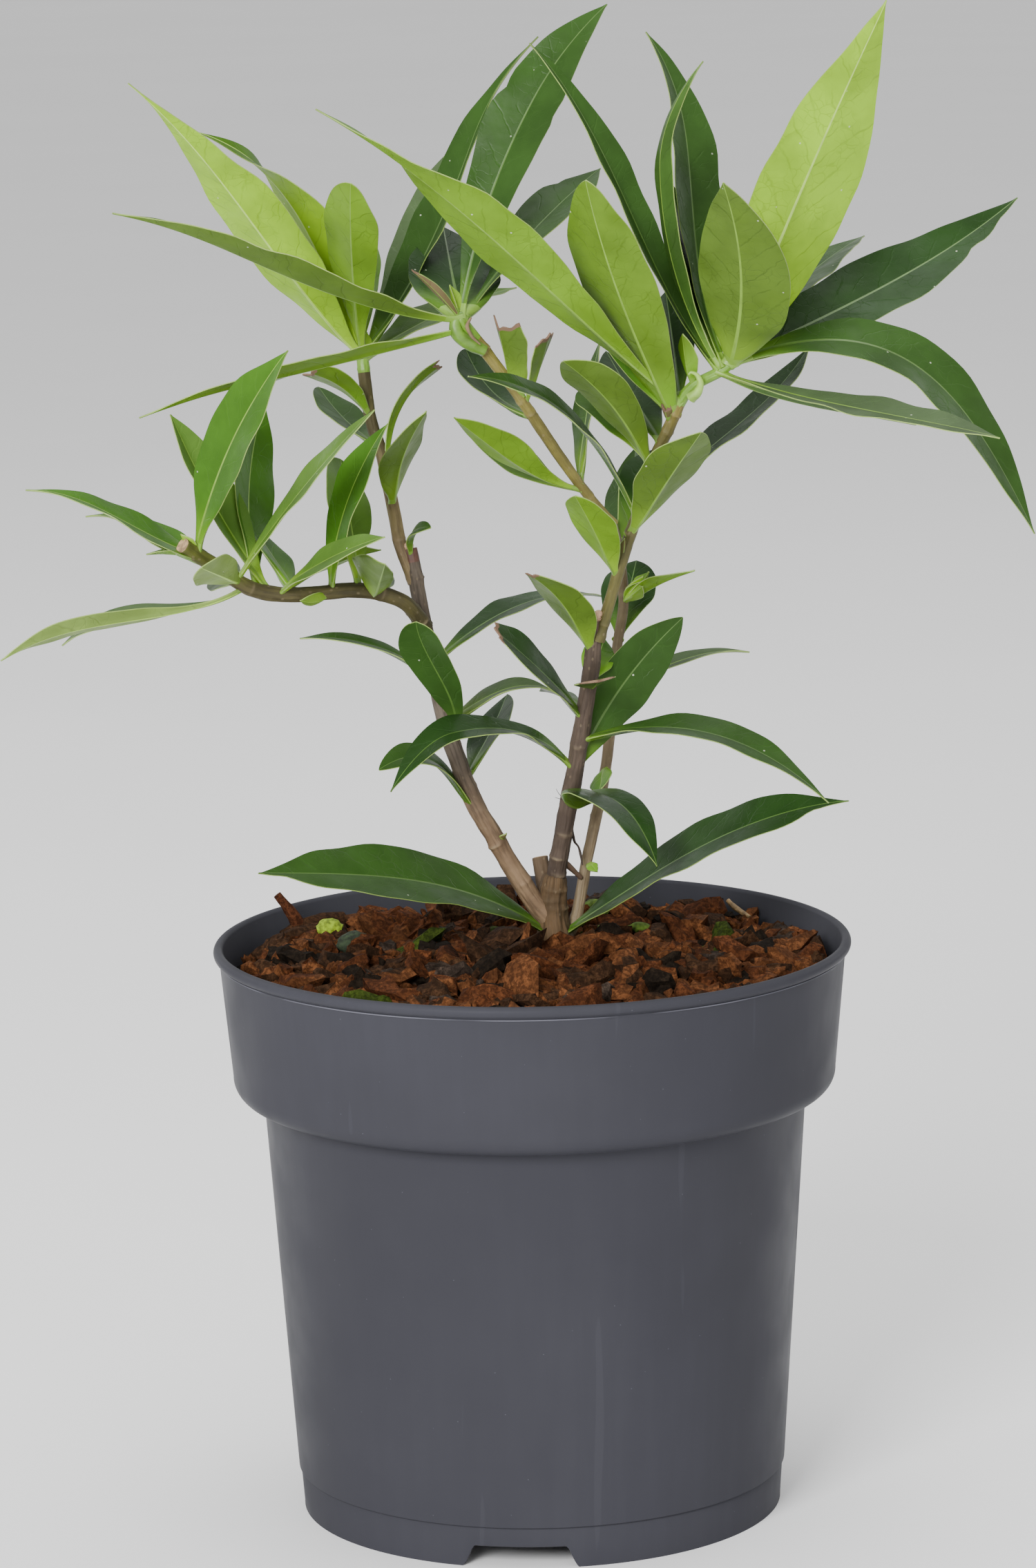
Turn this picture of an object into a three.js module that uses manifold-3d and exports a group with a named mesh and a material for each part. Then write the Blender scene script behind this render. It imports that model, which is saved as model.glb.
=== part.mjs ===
// A young daphne shrub in a round nursery pot, in millimetres.
// +Z is up, the pot stands on Z = 0 with its axis on Z, and -Y is the front of the plant.
// Limbs are tapering tubes along curves, and every leaf is a thin blade that grows from a limb's axis.

import * as THREE from 'three';
import { mergeVertices } from 'three/addons/utils/BufferGeometryUtils.js';
import Module from 'manifold-3d';

const wasm = await Module();
wasm.setup();

// ---- Driving dimensions ----

const CLEARANCE = 0.3;      // left between neighbouring pieces
const SEED = 7;

const POT = {
  height: 172.5,
  rimRadius: 95,            // outside of the bead
  beadRadius: 1.7,
  collarTopRadius: 93.3,
  collarFootRadius: 90,
  collarFootZ: 127,
  collarFillet: 6,
  wallTopRadius: 81.3,
  wallBottomRadius: 73.4,
  bandTopRadius: 72.8,      // the plain band below the seam line
  bandRadius: 72,
  bandTopZ: 12.3,
  wall: 1.3,
  floorZ: 7.5,              // underside of the raised floor
  padRadius: 22,            // middle disc that also reaches the ground
  padSlope: 6,
  sides: 48,
};
const NOTCH = { count: 3, firstBearing: 264.4, topWidth: 26, bottomWidth: 34, height: 6.3, depth: 16 };
const DRAIN = { count: 6, radius: 4.5, ring: 50, sides: 10 };

const MEDIUM = { edgeZ: 161.5, middleZ: 165.5, roughness: 1.3, rings: 9, sides: 36, seatRadius: 9 };
const FOOT = { x: 8, y: 14, z: 164 };     // flat cut of the trunk at the surface of the bark

const LEAF_THICKNESS = { least: 1.2, share: 0.014 };
const LEAF_FOLD = 0.16;     // rise of the margins above the midrib, per half width
const LEAF_STATIONS = [0, 0.04, 0.15, 0.3, 0.48, 0.66, 0.84, 1];
const PETIOLE = { halfWidth: 1.05, share: 0.3 };
const OUTLINE = { foot: 1.35, tip: 1.2, bluntness: 0.75 };
const PAIR = { lowering: 0.37, shortest: 0.8, spread: 0.14, narrowing: 0.9 };

const COLOURS = {
  pot: [0x4b4c52, 0.5],
  medium: [0x5a2f20, 0.95],
  bark: [0x5d4d3c, 0.85],
  shoot: [0x77704a, 0.75],
  leaf: [0x3c6a2a, 0.45],
  crown: [0x6c9a3c, 0.45],
};

// ---- Limbs: guide points along the axis, and the radius at the foot and at the tip ----

const limb = (start, end, ...points) => ({ start, end, points });

const LIMBS = {
  trunk: limb(5.3, 3.1, [FOOT.x, FOOT.y, FOOT.z], [7, 14, 172], [6.5, 14, 180], [7, 14, 187]),
  cut_stub: limb(2.2, 2.4, [6, 15, 177], [4, 18, 186], [3, 20, 193]),
  centre_stem: limb(2.9, 2.3, [7, 14, 186], [9, 12, 197], [13, 9, 218], [16.5, 5, 238],
    [19, 2, 253], [20.5, 0, 269]),
  left_stem: limb(3, 1.9, [5, 14, 176], [1, 12, 182], [-7, 9, 198], [-17, 7, 216],
    [-25, 6, 240], [-30, 7, 266], [-34, 10, 289]),
  rear_stem: limb(1.75, 1.5, [9, 15, 169], [13, 17, 174], [17.5, 22, 194], [23.5, 29, 220],
    [27, 34, 252], [29.5, 35, 268], [28.5, 33, 283], [26, 30, 293]),
  left_crown: limb(1.9, 1.8, [-32.5, 9, 279], [-36.5, 10, 289], [-38.5, 13, 300],
    [-42, 17, 317], [-45, 19, 327], [-47, 22, 345]),
  middle_crown: limb(1.5, 1.7, [26.5, 30.6, 292], [19, 26, 303], [13, 22, 312], [0, 13, 332],
    [-8, 8, 344], [-17.5, 3, 357.5]),
  right_crown: limb(1.8, 1.6, [21, 0.5, 262], [23.6, -0.5, 270], [29, -5, 288], [34, -8, 303],
    [37, -10, 314], [42, -13, 325], [46, -15, 334], [50, -17, 339], [57, -19, 343], [61, -20, 346]),
  side_crown: limb(2.2, 1.9, [-30, 7, 266], [-35, -1, 274], [-43, -4, 278], [-52, -7, 279.5],
    [-62, -10, 279], [-71, -13, 279.5], [-80, -17, 282], [-88, -21, 288], [-99, -30, 297]),
};
const LIMB_SIDES = 8;
const LIMB_STEP = 7;        // length of one ring's stretch
const TIP_BUD_RADIUS = 2.7; // swollen leaf bases crowded at a crown's growing tip

// ---- Leaves ----
// leaf(share up the limb, [right, back, up] from the axis to the tip, width, shape)
// shape: arch and sway bend the midrib up and sideways, roll turns the blade about its chord in degrees,
// blunt rounds the tip, kept is the share that is left of a leaf that was cut off short, and
// pair adds a second leaf on the far side of the limb.

const leaf = (at, reach, width, shape = {}) => ({
  at, reach, width, arch: 0, sway: 0, roll: 0, blunt: 0, kept: 1, pair: false, ...shape,
});

const CROWNS = {
  left_crown: [
    leaf(1, [-64, -46, 85], 24, { arch: 2, roll: 20, pair: true }),
    leaf(1, [-47, -20, 69], 22, { arch: 8, sway: -2, roll: 20, pair: true }),
    leaf(1, [-3, -44, 55], 19, { arch: 2, sway: 1, roll: -25, blunt: 0.8, pair: true }),
    leaf(1, [53, 20, 92], 20, { arch: 5, sway: -2, roll: 10 }),
    leaf(0.99, [25, 54, 55], 20, { roll: -20, blunt: 0.3 }),
    leaf(0.98, [46, 48, 16], 19, { arch: 3 }),
    leaf(0.35, [11, -27, 31], 17, { arch: -1, sway: 1, roll: 25, blunt: 0.2 }),
    leaf(0.47, [16, 15, 31], 10, { arch: 5, sway: -2, roll: -55, kept: 0.8 }),
    leaf(0.74, [-18, -13, 16], 14, { arch: 3, sway: -1, roll: 20, blunt: 0.2, kept: 0.8 }),
    leaf(0.6, [-20, 37, 14], 18, { roll: 10, blunt: 0.6 }),
  ],
  middle_crown: [
    leaf(1, [45, 33, 89], 25, { arch: 7, sway: -5, roll: 30 }),
    leaf(1, [-98, -45, 37], 21, { arch: 3, sway: 1, roll: 20 }),
    leaf(0.96, [-95, -30, -21], 15, { arch: 2, sway: 1, roll: 25 }),
    leaf(0.99, [42, 47, 40], 20, { blunt: 0.1 }),
    leaf(0.63, [0, -8, 23], 16, { roll: -25, blunt: 0.6, kept: 0.62 }),
    leaf(0.59, [7, -11, 21], 9, { roll: 30, blunt: 0.5, kept: 0.7 }),
    leaf(0.53, [-20, 33, 17], 17, { arch: -2, sway: -1, roll: 10, blunt: 0.6 }),
    leaf(1, [-7, 47, 29], 18, { roll: 40, blunt: 0.2 }),
    leaf(0.18, [-37, -17, 24], 16, { arch: -2, sway: 1, roll: 30, blunt: 0.1, pair: true }),
    leaf(0.2, [7, 21, 41], 15, { sway: -1, roll: -50 }),
  ],
  right_crown: [
    leaf(0.99, [45, -20, 105], 29, { arch: -2, sway: -1, roll: -40, pair: true }),
    leaf(0.99, [87, 40, 43], 24, { arch: 1, sway: -1, roll: 35, blunt: 0.1 }),
    leaf(0.99, [88, -2, -51], 22, { arch: 27, roll: 30 }),
    leaf(0.95, [77, -53, -14], 17, { arch: 1, roll: 10, pair: true }),
    leaf(1, [-2, -58, 57], 28, { sway: -4, roll: -20, blunt: 0.55, pair: true }),
    leaf(0.95, [-53, 29, 94], 20, { arch: 1, sway: 2, roll: -10 }),
    leaf(0.97, [-20, 54, 94], 21, { arch: 4, sway: 4, roll: 25 }),
    leaf(0.96, [-4, 3, 89], 15, { arch: -12, sway: -9, roll: 65 }),
    leaf(0.99, [44, 78, 29], 19, { arch: 1, sway: -1, roll: -10 }),
    leaf(0.79, [-101, -51, 92], 23, { arch: 3, sway: 1, roll: 30 }),
    leaf(0.75, [-25, -38, 72], 26, { sway: 3, blunt: 0.7, pair: true }),
    leaf(0.8, [15, 37, 26], 15, { roll: -25, blunt: 0.4 }),
    leaf(0.57, [-25, -28, 35], 17, { arch: 3, sway: -1, roll: 15, blunt: 0.7, pair: true }),
    leaf(0.41, [-48, -57, 49], 14, { arch: 11, roll: -40 }),
    leaf(0.35, [20, -32, 34], 20, { arch: 1, sway: -1, roll: -5, blunt: 0.5, pair: true }),
    leaf(0.34, [56, 54, 49], 18, { arch: -2, sway: 1, roll: -5 }),
    leaf(0.21, [-12, -27, 28], 16, { arch: 1, roll: -5, blunt: 0.5 }),
    leaf(0.65, [-15, 40, 23], 17, { roll: 10, blunt: 0.3 }),
  ],
  side_crown: [
    leaf(0.88, [-51, -16, 24], 18, { arch: 2, roll: -25, pair: true }),
    leaf(0.71, [-70, -28, -16], 17, { arch: 2, roll: 40, pair: true }),
    leaf(0.93, [27, -18, 61], 23, { arch: 4, sway: 3, roll: 65 }),
    leaf(0.6, [-28, 8, 52], 18, { arch: -1, sway: -1, roll: -15, blunt: 0.2 }),
    leaf(0.67, [2, 36, 51], 23, { roll: 65, blunt: 0.3 }),
    leaf(0.75, [42, -31, 53], 14, { arch: 1, sway: -1, roll: 45 }),
    leaf(0.74, [-11, -38, 7], 14, { roll: 40, blunt: 0.5, pair: true }),
    leaf(0.54, [-7, 20, 16], 15, { roll: 45, blunt: 0.3 }),
    leaf(0.59, [32, -33, 21], 14, { arch: 4, sway: 1, roll: 40, pair: true }),
    leaf(0.32, [-5, 22, 36], 18, { arch: 2, roll: 40, blunt: 0.7 }),
    leaf(0.41, [18, -13, 51], 17, { arch: 2, sway: 2, roll: 65 }),
    leaf(0.24, [3, -38, 14], 15, { roll: 35, blunt: 0.2, pair: true }),
    leaf(0.41, [-8, -15, -1], 8, { roll: 10, blunt: 0.2 }),
  ],
};

// Single leaves, numbered up the limb that carries them.
const SINGLE_LEAVES = {
  trunk: [
    leaf(0.3, [-86, -44, 29], 24, { arch: 7, sway: 1, roll: -30 }),
    leaf(0.31, [86, -36, 47], 25, { arch: 4, roll: 25 }),
  ],
  left_stem: [
    leaf(0.34, [-29, -13, 14], 12, { arch: 10, roll: -20 }),
    leaf(0.41, [13, 31, 20], 16, { arch: 1, sway: 1, roll: -25, blunt: 0.3 }),
    leaf(0.53, [-9, -32, 40], 20, { arch: 2, sway: -3, roll: -95, blunt: 0.9, kept: 0.93 }),
    leaf(0.56, [31, 8, 7], 14, { arch: 8, roll: 5 }),
    leaf(0.67, [-40, -2, 14], 13, { arch: 5 }),
    leaf(0.71, [52, 56, 11], 14, { arch: 8, sway: 1 }),
    leaf(0.97, [6, -16, 10], 8, { arch: 3, sway: 2, roll: 45, blunt: 0.6 }),
  ],
  centre_stem: [
    leaf(0.31, [25, -40, -12], 19, { arch: 8, sway: -4, roll: -5 }),
    leaf(0.43, [-54, -44, 3], 17, { arch: 16, sway: 1, roll: -10 }),
    leaf(0.43, [33, 6, 43], 19, { arch: 1, roll: 95, blunt: 0.2 }),
    leaf(0.54, [71, -36, -12], 17, { arch: 11, roll: 10 }),
    leaf(0.62, [-27, -21, 30], 17, { arch: 3, sway: -1, roll: -45, blunt: 0.1, kept: 0.92 }),
    leaf(0.65, [-17, 36, 6], 14, { arch: 3, roll: 15 }),
    leaf(0.75, [2, -19, 5], 12, { roll: 95, blunt: 0.4, kept: 0.85 }),
    leaf(0.82, [4, 21, 8], 8, { roll: -85, blunt: 0.4 }),
    leaf(0.86, [-18, -23, 28], 17, { arch: 2, blunt: 0.1, kept: 0.95 }),
  ],
  rear_stem: [
    leaf(0.43, [-2, -15, -4], 8, { roll: 30, blunt: 0.6 }),
    leaf(0.62, [42, 19, 4], 13, { arch: 5, sway: 1, roll: 5 }),
    leaf(0.76, [10, 27, 15], 17, { roll: -25, blunt: 0.5 }),
    leaf(0.8, [21, -19, 14], 11, { arch: 1, sway: 1, roll: -5 }),
    leaf(0.89, [9, 35, 31], 17, { roll: -40, blunt: 0.3 }),
    leaf(0.93, [7, 12, 24], 13, { roll: -90, blunt: 0.6 }),
  ],
};

// ---- Helpers ----

const vector = (a) => new THREE.Vector3(...a);
const UP = new THREE.Vector3(0, 0, 1);
const radians = THREE.MathUtils.degToRad;
const round = (value) => Math.round(value * 1000) / 1000;
const flatPoints = (profile) => profile.map(([r, z]) => new THREE.Vector2(r, z));

// A repeatable number from 0 to 1 for each whole number.
function chance(n) {
  const s = Math.sin(n * 12.9898 + SEED * 78.233) * 43758.5453;
  return s - Math.floor(s);
}

// A closed solid from a closed geometry, whichever way its faces were left pointing.
function solidOf(geometry) {
  const plain = geometry.clone();
  plain.deleteAttribute('normal');
  plain.deleteAttribute('uv');
  const merged = mergeVertices(plain, 1e-4);
  const corners = Uint32Array.from(merged.index.array);
  const corner = (i) => new THREE.Vector3().fromBufferAttribute(merged.attributes.position, corners[i]);
  let volume = 0;
  for (let i = 0; i < corners.length; i += 3) volume += corner(i).dot(corner(i + 1).cross(corner(i + 2)));
  if (volume < 0) corners.reverse();
  return new wasm.Manifold(new wasm.Mesh({
    numProp: 3,
    vertProperties: new Float32Array(merged.attributes.position.array),
    triVerts: corners,
  }));
}

function geometryOf(solid) {
  const mesh = solid.getMesh();
  const geometry = new THREE.BufferGeometry();
  geometry.setAttribute('position', new THREE.BufferAttribute(mesh.vertProperties, 3));
  geometry.setIndex(new THREE.BufferAttribute(mesh.triVerts, 1));
  const faceted = geometry.toNonIndexed();
  faceted.computeVertexNormals();
  return faceted;
}

function largestPiece(solid) {
  return solid.decompose().reduce((a, b) => (b.volume() > a.volume() ? b : a));
}

function piece(name, solid, look) {
  const [color, roughness] = COLOURS[look];
  const mesh = new THREE.Mesh(geometryOf(solid),
    new THREE.MeshStandardMaterial({ color, roughness, metalness: 0, flatShading: true }));
  mesh.name = name;
  return mesh;
}

// ---- Limbs ----

const axisOf = (name) => new THREE.CatmullRomCurve3(LIMBS[name].points.map(vector), false, 'catmullrom', 0.5);

// A cylinder bent along the limb's axis, with `extra` more all round. The trunk's foot is cut level.
function limbSolid(name, extra = 0) {
  const { start, end } = LIMBS[name];
  const axis = axisOf(name);
  const rings = Math.max(2, Math.round(axis.getLength() / LIMB_STEP));
  const { tangents, normals, binormals } = axis.computeFrenetFrames(rings, false);
  if (name === 'trunk') {
    tangents[0].set(0, 0, 1);
    normals[0].set(1, 0, 0);
    binormals[0].set(0, 1, 0);
  }
  const geometry = new THREE.CylinderGeometry(1, 1, 1, LIMB_SIDES, rings);
  const position = geometry.attributes.position;
  for (let i = 0; i < position.count; i += 1) {
    const share = THREE.MathUtils.clamp(position.getY(i) + 0.5, 0, 1);
    const ring = Math.round(share * rings);
    const radius = THREE.MathUtils.lerp(start, end, share) + extra;
    const beyond = { 0: -extra, [rings]: extra }[ring] ?? 0;
    const point = axis.getPointAt(share)
      .addScaledVector(tangents[ring], beyond)
      .addScaledVector(normals[ring], -position.getX(i) * radius)
      .addScaledVector(binormals[ring], position.getZ(i) * radius);
    position.setXYZ(i, point.x, point.y, point.z);
  }
  return solidOf(geometry);
}

const swollen = Object.fromEntries(Object.keys(LIMBS).map((name) => [name, limbSolid(name, CLEARANCE)]));

// A limb that springs from another starts inside it and is cut clear of it.
function limbClearOf(name, carriers) {
  return carriers.reduce((solid, carrier) => largestPiece(solid.subtract(swollen[carrier])), limbSolid(name));
}

// ---- Leaves ----

// Half the width at a share of the length, as a part of the greatest half width.
function outline(share, blunt) {
  const tip = OUTLINE.tip - OUTLINE.bluntness * blunt;
  const widest = OUTLINE.foot / (OUTLINE.foot + tip);
  const form = (u) => u ** OUTLINE.foot * (1 - u) ** tip;
  return form(share) / form(widest);
}

// A four-sided sphere drawn out along the midrib: two margins, the upper face's ridge and the lower one's.
function bladeSolid(foot, spec) {
  const reach = vector(spec.reach);
  const chord = reach.clone().normalize();
  const rise = UP.clone().addScaledVector(chord, -UP.dot(chord)).normalize();
  const aside = chord.clone().cross(rise);
  const face = rise.clone().multiplyScalar(Math.cos(radians(spec.roll)))
    .addScaledVector(aside, Math.sin(radians(spec.roll)));
  const bend = rise.clone().multiplyScalar(spec.arch).addScaledVector(aside, spec.sway);
  const thickness = Math.max(LEAF_THICKNESS.least, LEAF_THICKNESS.share * reach.length());
  const last = LEAF_STATIONS.length - 1;
  const geometry = new THREE.SphereGeometry(1, 4, last);
  const position = geometry.attributes.position;
  for (let i = 0; i < position.count; i += 1) {
    const row = Math.round(Math.acos(THREE.MathUtils.clamp(position.getY(i), -1, 1)) / Math.PI * last);
    const share = LEAF_STATIONS[row];
    const [across, over] = [Math.sign(round(position.getX(i))), Math.sign(round(position.getZ(i)))];
    const tangent = reach.clone().addScaledVector(bend, 4 * (1 - 2 * share)).normalize();
    const edgeways = tangent.clone().cross(face).normalize();
    const normal = edgeways.clone().cross(tangent);
    const petiole = PETIOLE.halfWidth * Math.max(0, 1 - share / PETIOLE.share);
    const half = Math.max(petiole, outline(share * spec.kept, spec.blunt) * spec.width / 2);
    const lift = Math.abs(across) * half * LEAF_FOLD + over * thickness / 2;
    const point = foot.clone().addScaledVector(reach, share)
      .addScaledVector(bend, 4 * share * (1 - share))
      .addScaledVector(edgeways, across * half)
      .addScaledVector(normal, lift);
    position.setXYZ(i, point.x, point.y, point.z);
  }
  return solidOf(geometry);
}

// The far-side partner of a leaf: its reach mirrored to the back, lowered and a little shorter.
function partnerOf(spec, number) {
  const [right, back, up] = spec.reach;
  const length = PAIR.shortest + PAIR.spread * chance(number);
  const reach = [right * length, -back * length, (up + PAIR.lowering * back) * length];
  return { ...spec, reach, width: spec.width * PAIR.narrowing, sway: -spec.sway, roll: -spec.roll };
}

// One stem with every leaf of its crown fused on, their roots at the stem's axis.
function crownSolid(name, carriers) {
  const axis = axisOf(name);
  const leaves = CROWNS[name].flatMap((spec, i) => (spec.pair ? [spec, partnerOf(spec, i)] : [spec]));
  const tip = axis.getPointAt(1);
  const bud = new THREE.SphereGeometry(TIP_BUD_RADIUS, 8, 5).translate(tip.x, tip.y, tip.z);
  const whole = leaves.reduce((solid, spec) => solid.add(bladeSolid(axis.getPointAt(spec.at), spec)),
    limbSolid(name).add(solidOf(bud)));
  return carriers.reduce((solid, carrier) => largestPiece(solid.subtract(swollen[carrier])), whole);
}

// A leaf of its own, with its foot cut clear of every limb.
function singleLeafSolid(carrier, spec) {
  const whole = bladeSolid(axisOf(carrier).getPointAt(spec.at), spec);
  return Object.values(swollen).reduce((solid, other) => largestPiece(solid.subtract(other)), whole);
}

// ---- Pot and bark ----

function arc(radius, z, size, from, to, steps) {
  return Array.from({ length: steps + 1 }, (_, i) => {
    const angle = radians(from + (to - from) * i / steps);
    return [radius + size * Math.cos(angle), z + size * Math.sin(angle)];
  });
}

function potOutside() {
  const beadX = POT.rimRadius - POT.beadRadius;
  const beadZ = POT.height - POT.beadRadius;
  const collarX = POT.collarFootRadius - POT.collarFillet;
  return [
    [POT.bandRadius, 0],
    [POT.bandTopRadius, POT.bandTopZ],
    [POT.wallBottomRadius, POT.bandTopZ + 0.4],
    [POT.wallTopRadius, POT.collarFootZ],
    ...arc(collarX, POT.collarFootZ + POT.collarFillet, POT.collarFillet, -90, 0, 4),
    [POT.collarTopRadius, beadZ - POT.beadRadius],
    ...arc(beadX, beadZ, POT.beadRadius, -60, 90, 5),
  ];
}

function potInside() {
  const collarX = POT.collarFootRadius - POT.collarFillet;
  const inner = POT.collarFillet - POT.wall;
  return [
    [POT.collarTopRadius - POT.wall, POT.height - 1],
    ...arc(collarX, POT.collarFootZ + POT.collarFillet, inner, 0, -90, 3),
    [POT.wallTopRadius - POT.wall, POT.collarFootZ + POT.wall - 1],
    [POT.wallBottomRadius - POT.wall, POT.floorZ + POT.wall],
  ];
}

function potSolid() {
  const under = [
    [0, 0],
    [POT.padRadius, 0],
    [POT.padRadius + POT.padSlope, POT.floorZ],
    [POT.bandRadius - POT.wall - 0.2, POT.floorZ],
    [POT.bandRadius - POT.wall, 0],
  ];
  const floor = [
    [POT.padRadius + POT.padSlope - POT.wall, POT.floorZ + POT.wall],
    [POT.padRadius - POT.wall, POT.wall],
    [0, POT.wall],
  ];
  const profile = [...under, ...potOutside(), ...potInside(), ...floor];
  const lathe = new THREE.LatheGeometry(flatPoints(profile), POT.sides);
  lathe.rotateX(Math.PI / 2);
  const holes = [];
  for (let i = 0; i < DRAIN.count; i += 1) {
    const bearing = 2 * Math.PI * i / DRAIN.count;
    const drill = new THREE.CylinderGeometry(DRAIN.radius, DRAIN.radius, 4 * POT.wall, DRAIN.sides);
    drill.rotateX(Math.PI / 2);
    drill.translate(DRAIN.ring, 0, POT.floorZ + POT.wall / 2);
    drill.rotateZ(bearing);
    holes.push(drill);
  }
  for (let i = 0; i < NOTCH.count; i += 1) {
    const shape = new THREE.Shape(flatPoints([
      [-NOTCH.bottomWidth / 2, -NOTCH.height],
      [NOTCH.bottomWidth / 2, -NOTCH.height],
      [NOTCH.bottomWidth / 2, 0],
      [NOTCH.topWidth / 2, NOTCH.height],
      [-NOTCH.topWidth / 2, NOTCH.height],
      [-NOTCH.bottomWidth / 2, 0],
    ]));
    const cutter = new THREE.ExtrudeGeometry(shape, { depth: NOTCH.depth, bevelEnabled: false });
    cutter.rotateX(Math.PI / 2);
    cutter.translate(0, NOTCH.depth / 2 - POT.bandRadius, 0);
    cutter.rotateZ(radians(NOTCH.firstBearing + 90 + 360 * i / NOTCH.count));
    holes.push(cutter);
  }
  return holes.reduce((solid, hole) => solid.subtract(solidOf(hole)), solidOf(lathe));
}

// Height of the bark's surface: a low mound with seeded lumps, and a flat seat for the trunk.
function surfaceHeight(x, y, number) {
  const spread = Math.hypot(x, y) / POT.collarTopRadius;
  const mound = THREE.MathUtils.lerp(MEDIUM.middleZ, MEDIUM.edgeZ, spread ** 2);
  const seated = Math.hypot(x - FOOT.x, y - FOOT.y) < MEDIUM.seatRadius;
  return seated ? FOOT.z - CLEARANCE : mound + MEDIUM.roughness * (2 * chance(number) - 1);
}

// A plug of bark that fills the pot from its floor to the mound.
function mediumSolid() {
  const wall = potInside().slice(1).map(([r, z]) => [r - CLEARANCE, z]);
  const floorZ = POT.floorZ + POT.wall + CLEARANCE;
  wall[wall.length - 1][1] = floorZ;
  const edge = wall[0][0] + (MEDIUM.edgeZ - wall[0][1]) * (POT.collarTopRadius - POT.collarFootRadius)
    / (POT.height - POT.collarFootZ);
  const ringAt = (_, i) => [edge * (1 - i / MEDIUM.rings), MEDIUM.edgeZ];
  const top = Array.from({ length: MEDIUM.rings + 1 }, ringAt);
  const profile = [[0, floorZ], ...wall.reverse(), ...top];
  const lathe = new THREE.LatheGeometry(flatPoints(profile), MEDIUM.sides);
  lathe.rotateX(Math.PI / 2);
  lathe.deleteAttribute('normal');
  lathe.deleteAttribute('uv');
  const merged = mergeVertices(lathe, 1e-3);
  const position = merged.attributes.position;
  for (let i = 0; i < position.count; i += 1) {
    if (Math.abs(position.getZ(i) - MEDIUM.edgeZ) < 0.01) {
      position.setZ(i, surfaceHeight(position.getX(i), position.getY(i), i));
    }
  }
  const seat = new THREE.CylinderGeometry(MEDIUM.seatRadius - 1, MEDIUM.seatRadius - 1, 20, 12);
  seat.rotateX(Math.PI / 2);
  seat.translate(FOOT.x, FOOT.y, FOOT.z - CLEARANCE + 10);
  return solidOf(merged).subtract(solidOf(seat));
}

// ---- The whole plant ----

const plant = new THREE.Group();
plant.name = 'daphne_in_pot';

plant.add(piece('pot', potSolid(), 'pot'));
plant.add(piece('bark_medium', mediumSolid(), 'medium'));
plant.add(piece('trunk', limbSolid('trunk'), 'bark'));
plant.add(piece('cut_stub', limbClearOf('cut_stub', ['trunk', 'centre_stem']), 'bark'));
plant.add(piece('centre_stem', limbClearOf('centre_stem', ['trunk']), 'bark'));
plant.add(piece('left_stem', limbClearOf('left_stem', ['trunk', 'cut_stub']), 'bark'));
plant.add(piece('rear_stem', limbClearOf('rear_stem', ['trunk']), 'shoot'));

plant.add(piece('left_crown', crownSolid('left_crown', ['left_stem']), 'crown'));
plant.add(piece('side_crown', crownSolid('side_crown', ['left_stem', 'left_crown']), 'crown'));
plant.add(piece('middle_crown', crownSolid('middle_crown', ['rear_stem']), 'crown'));
plant.add(piece('right_crown', crownSolid('right_crown', ['centre_stem']), 'crown'));

for (const [carrier, leaves] of Object.entries(SINGLE_LEAVES)) {
  leaves.forEach((spec, i) => {
    plant.add(piece(`${carrier}_leaf_${i + 1}`, singleLeafSolid(carrier, spec), 'leaf'));
  });
}

export default plant;
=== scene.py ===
"""A young daphne shrub in a round nursery pot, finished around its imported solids.

Lengths in the tables are in millimetres, and become metres when a mesh is made.
+Z is up, the pot stands on Z = 0 with its axis on Z, and -Y is the front of the plant.
"""

from math import cos, pi, radians, sin

import bpy
import numpy as np
from bpy.props import FloatProperty, FloatVectorProperty, IntProperty, PointerProperty
from mathutils import Matrix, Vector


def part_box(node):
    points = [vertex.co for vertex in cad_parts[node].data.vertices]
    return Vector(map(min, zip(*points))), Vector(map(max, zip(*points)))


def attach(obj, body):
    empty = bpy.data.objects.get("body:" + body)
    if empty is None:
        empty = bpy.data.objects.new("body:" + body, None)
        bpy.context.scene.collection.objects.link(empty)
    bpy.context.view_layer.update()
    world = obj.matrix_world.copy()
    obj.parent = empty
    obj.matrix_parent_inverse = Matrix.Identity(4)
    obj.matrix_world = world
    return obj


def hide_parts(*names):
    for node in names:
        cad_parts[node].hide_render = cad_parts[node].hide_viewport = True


bl_info = {
    "name": "Potted daphne",
    "version": (1, 0, 0),
    "blender": (4, 5, 0),
    "location": "View3D > Sidebar > Daphne",
    "description": "Builds a young daphne shrub with its leaves, bark and pot",
    "category": "Add Mesh",
}

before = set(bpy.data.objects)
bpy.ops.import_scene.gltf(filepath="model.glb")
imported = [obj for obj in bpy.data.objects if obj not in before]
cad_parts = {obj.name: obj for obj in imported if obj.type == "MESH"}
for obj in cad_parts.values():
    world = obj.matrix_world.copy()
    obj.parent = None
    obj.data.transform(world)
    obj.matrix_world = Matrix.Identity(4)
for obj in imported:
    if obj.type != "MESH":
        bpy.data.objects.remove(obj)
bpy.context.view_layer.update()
POT_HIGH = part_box("pot")[1]

MM = 0.001
SEED = 7

# ---- Limbs and leaves, by the same rule as the solids ----


def limb(start, end, *points):
    """Radius at the foot and at the tip, and guide points along the axis."""
    return {"start": start, "end": end, "points": points}


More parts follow.
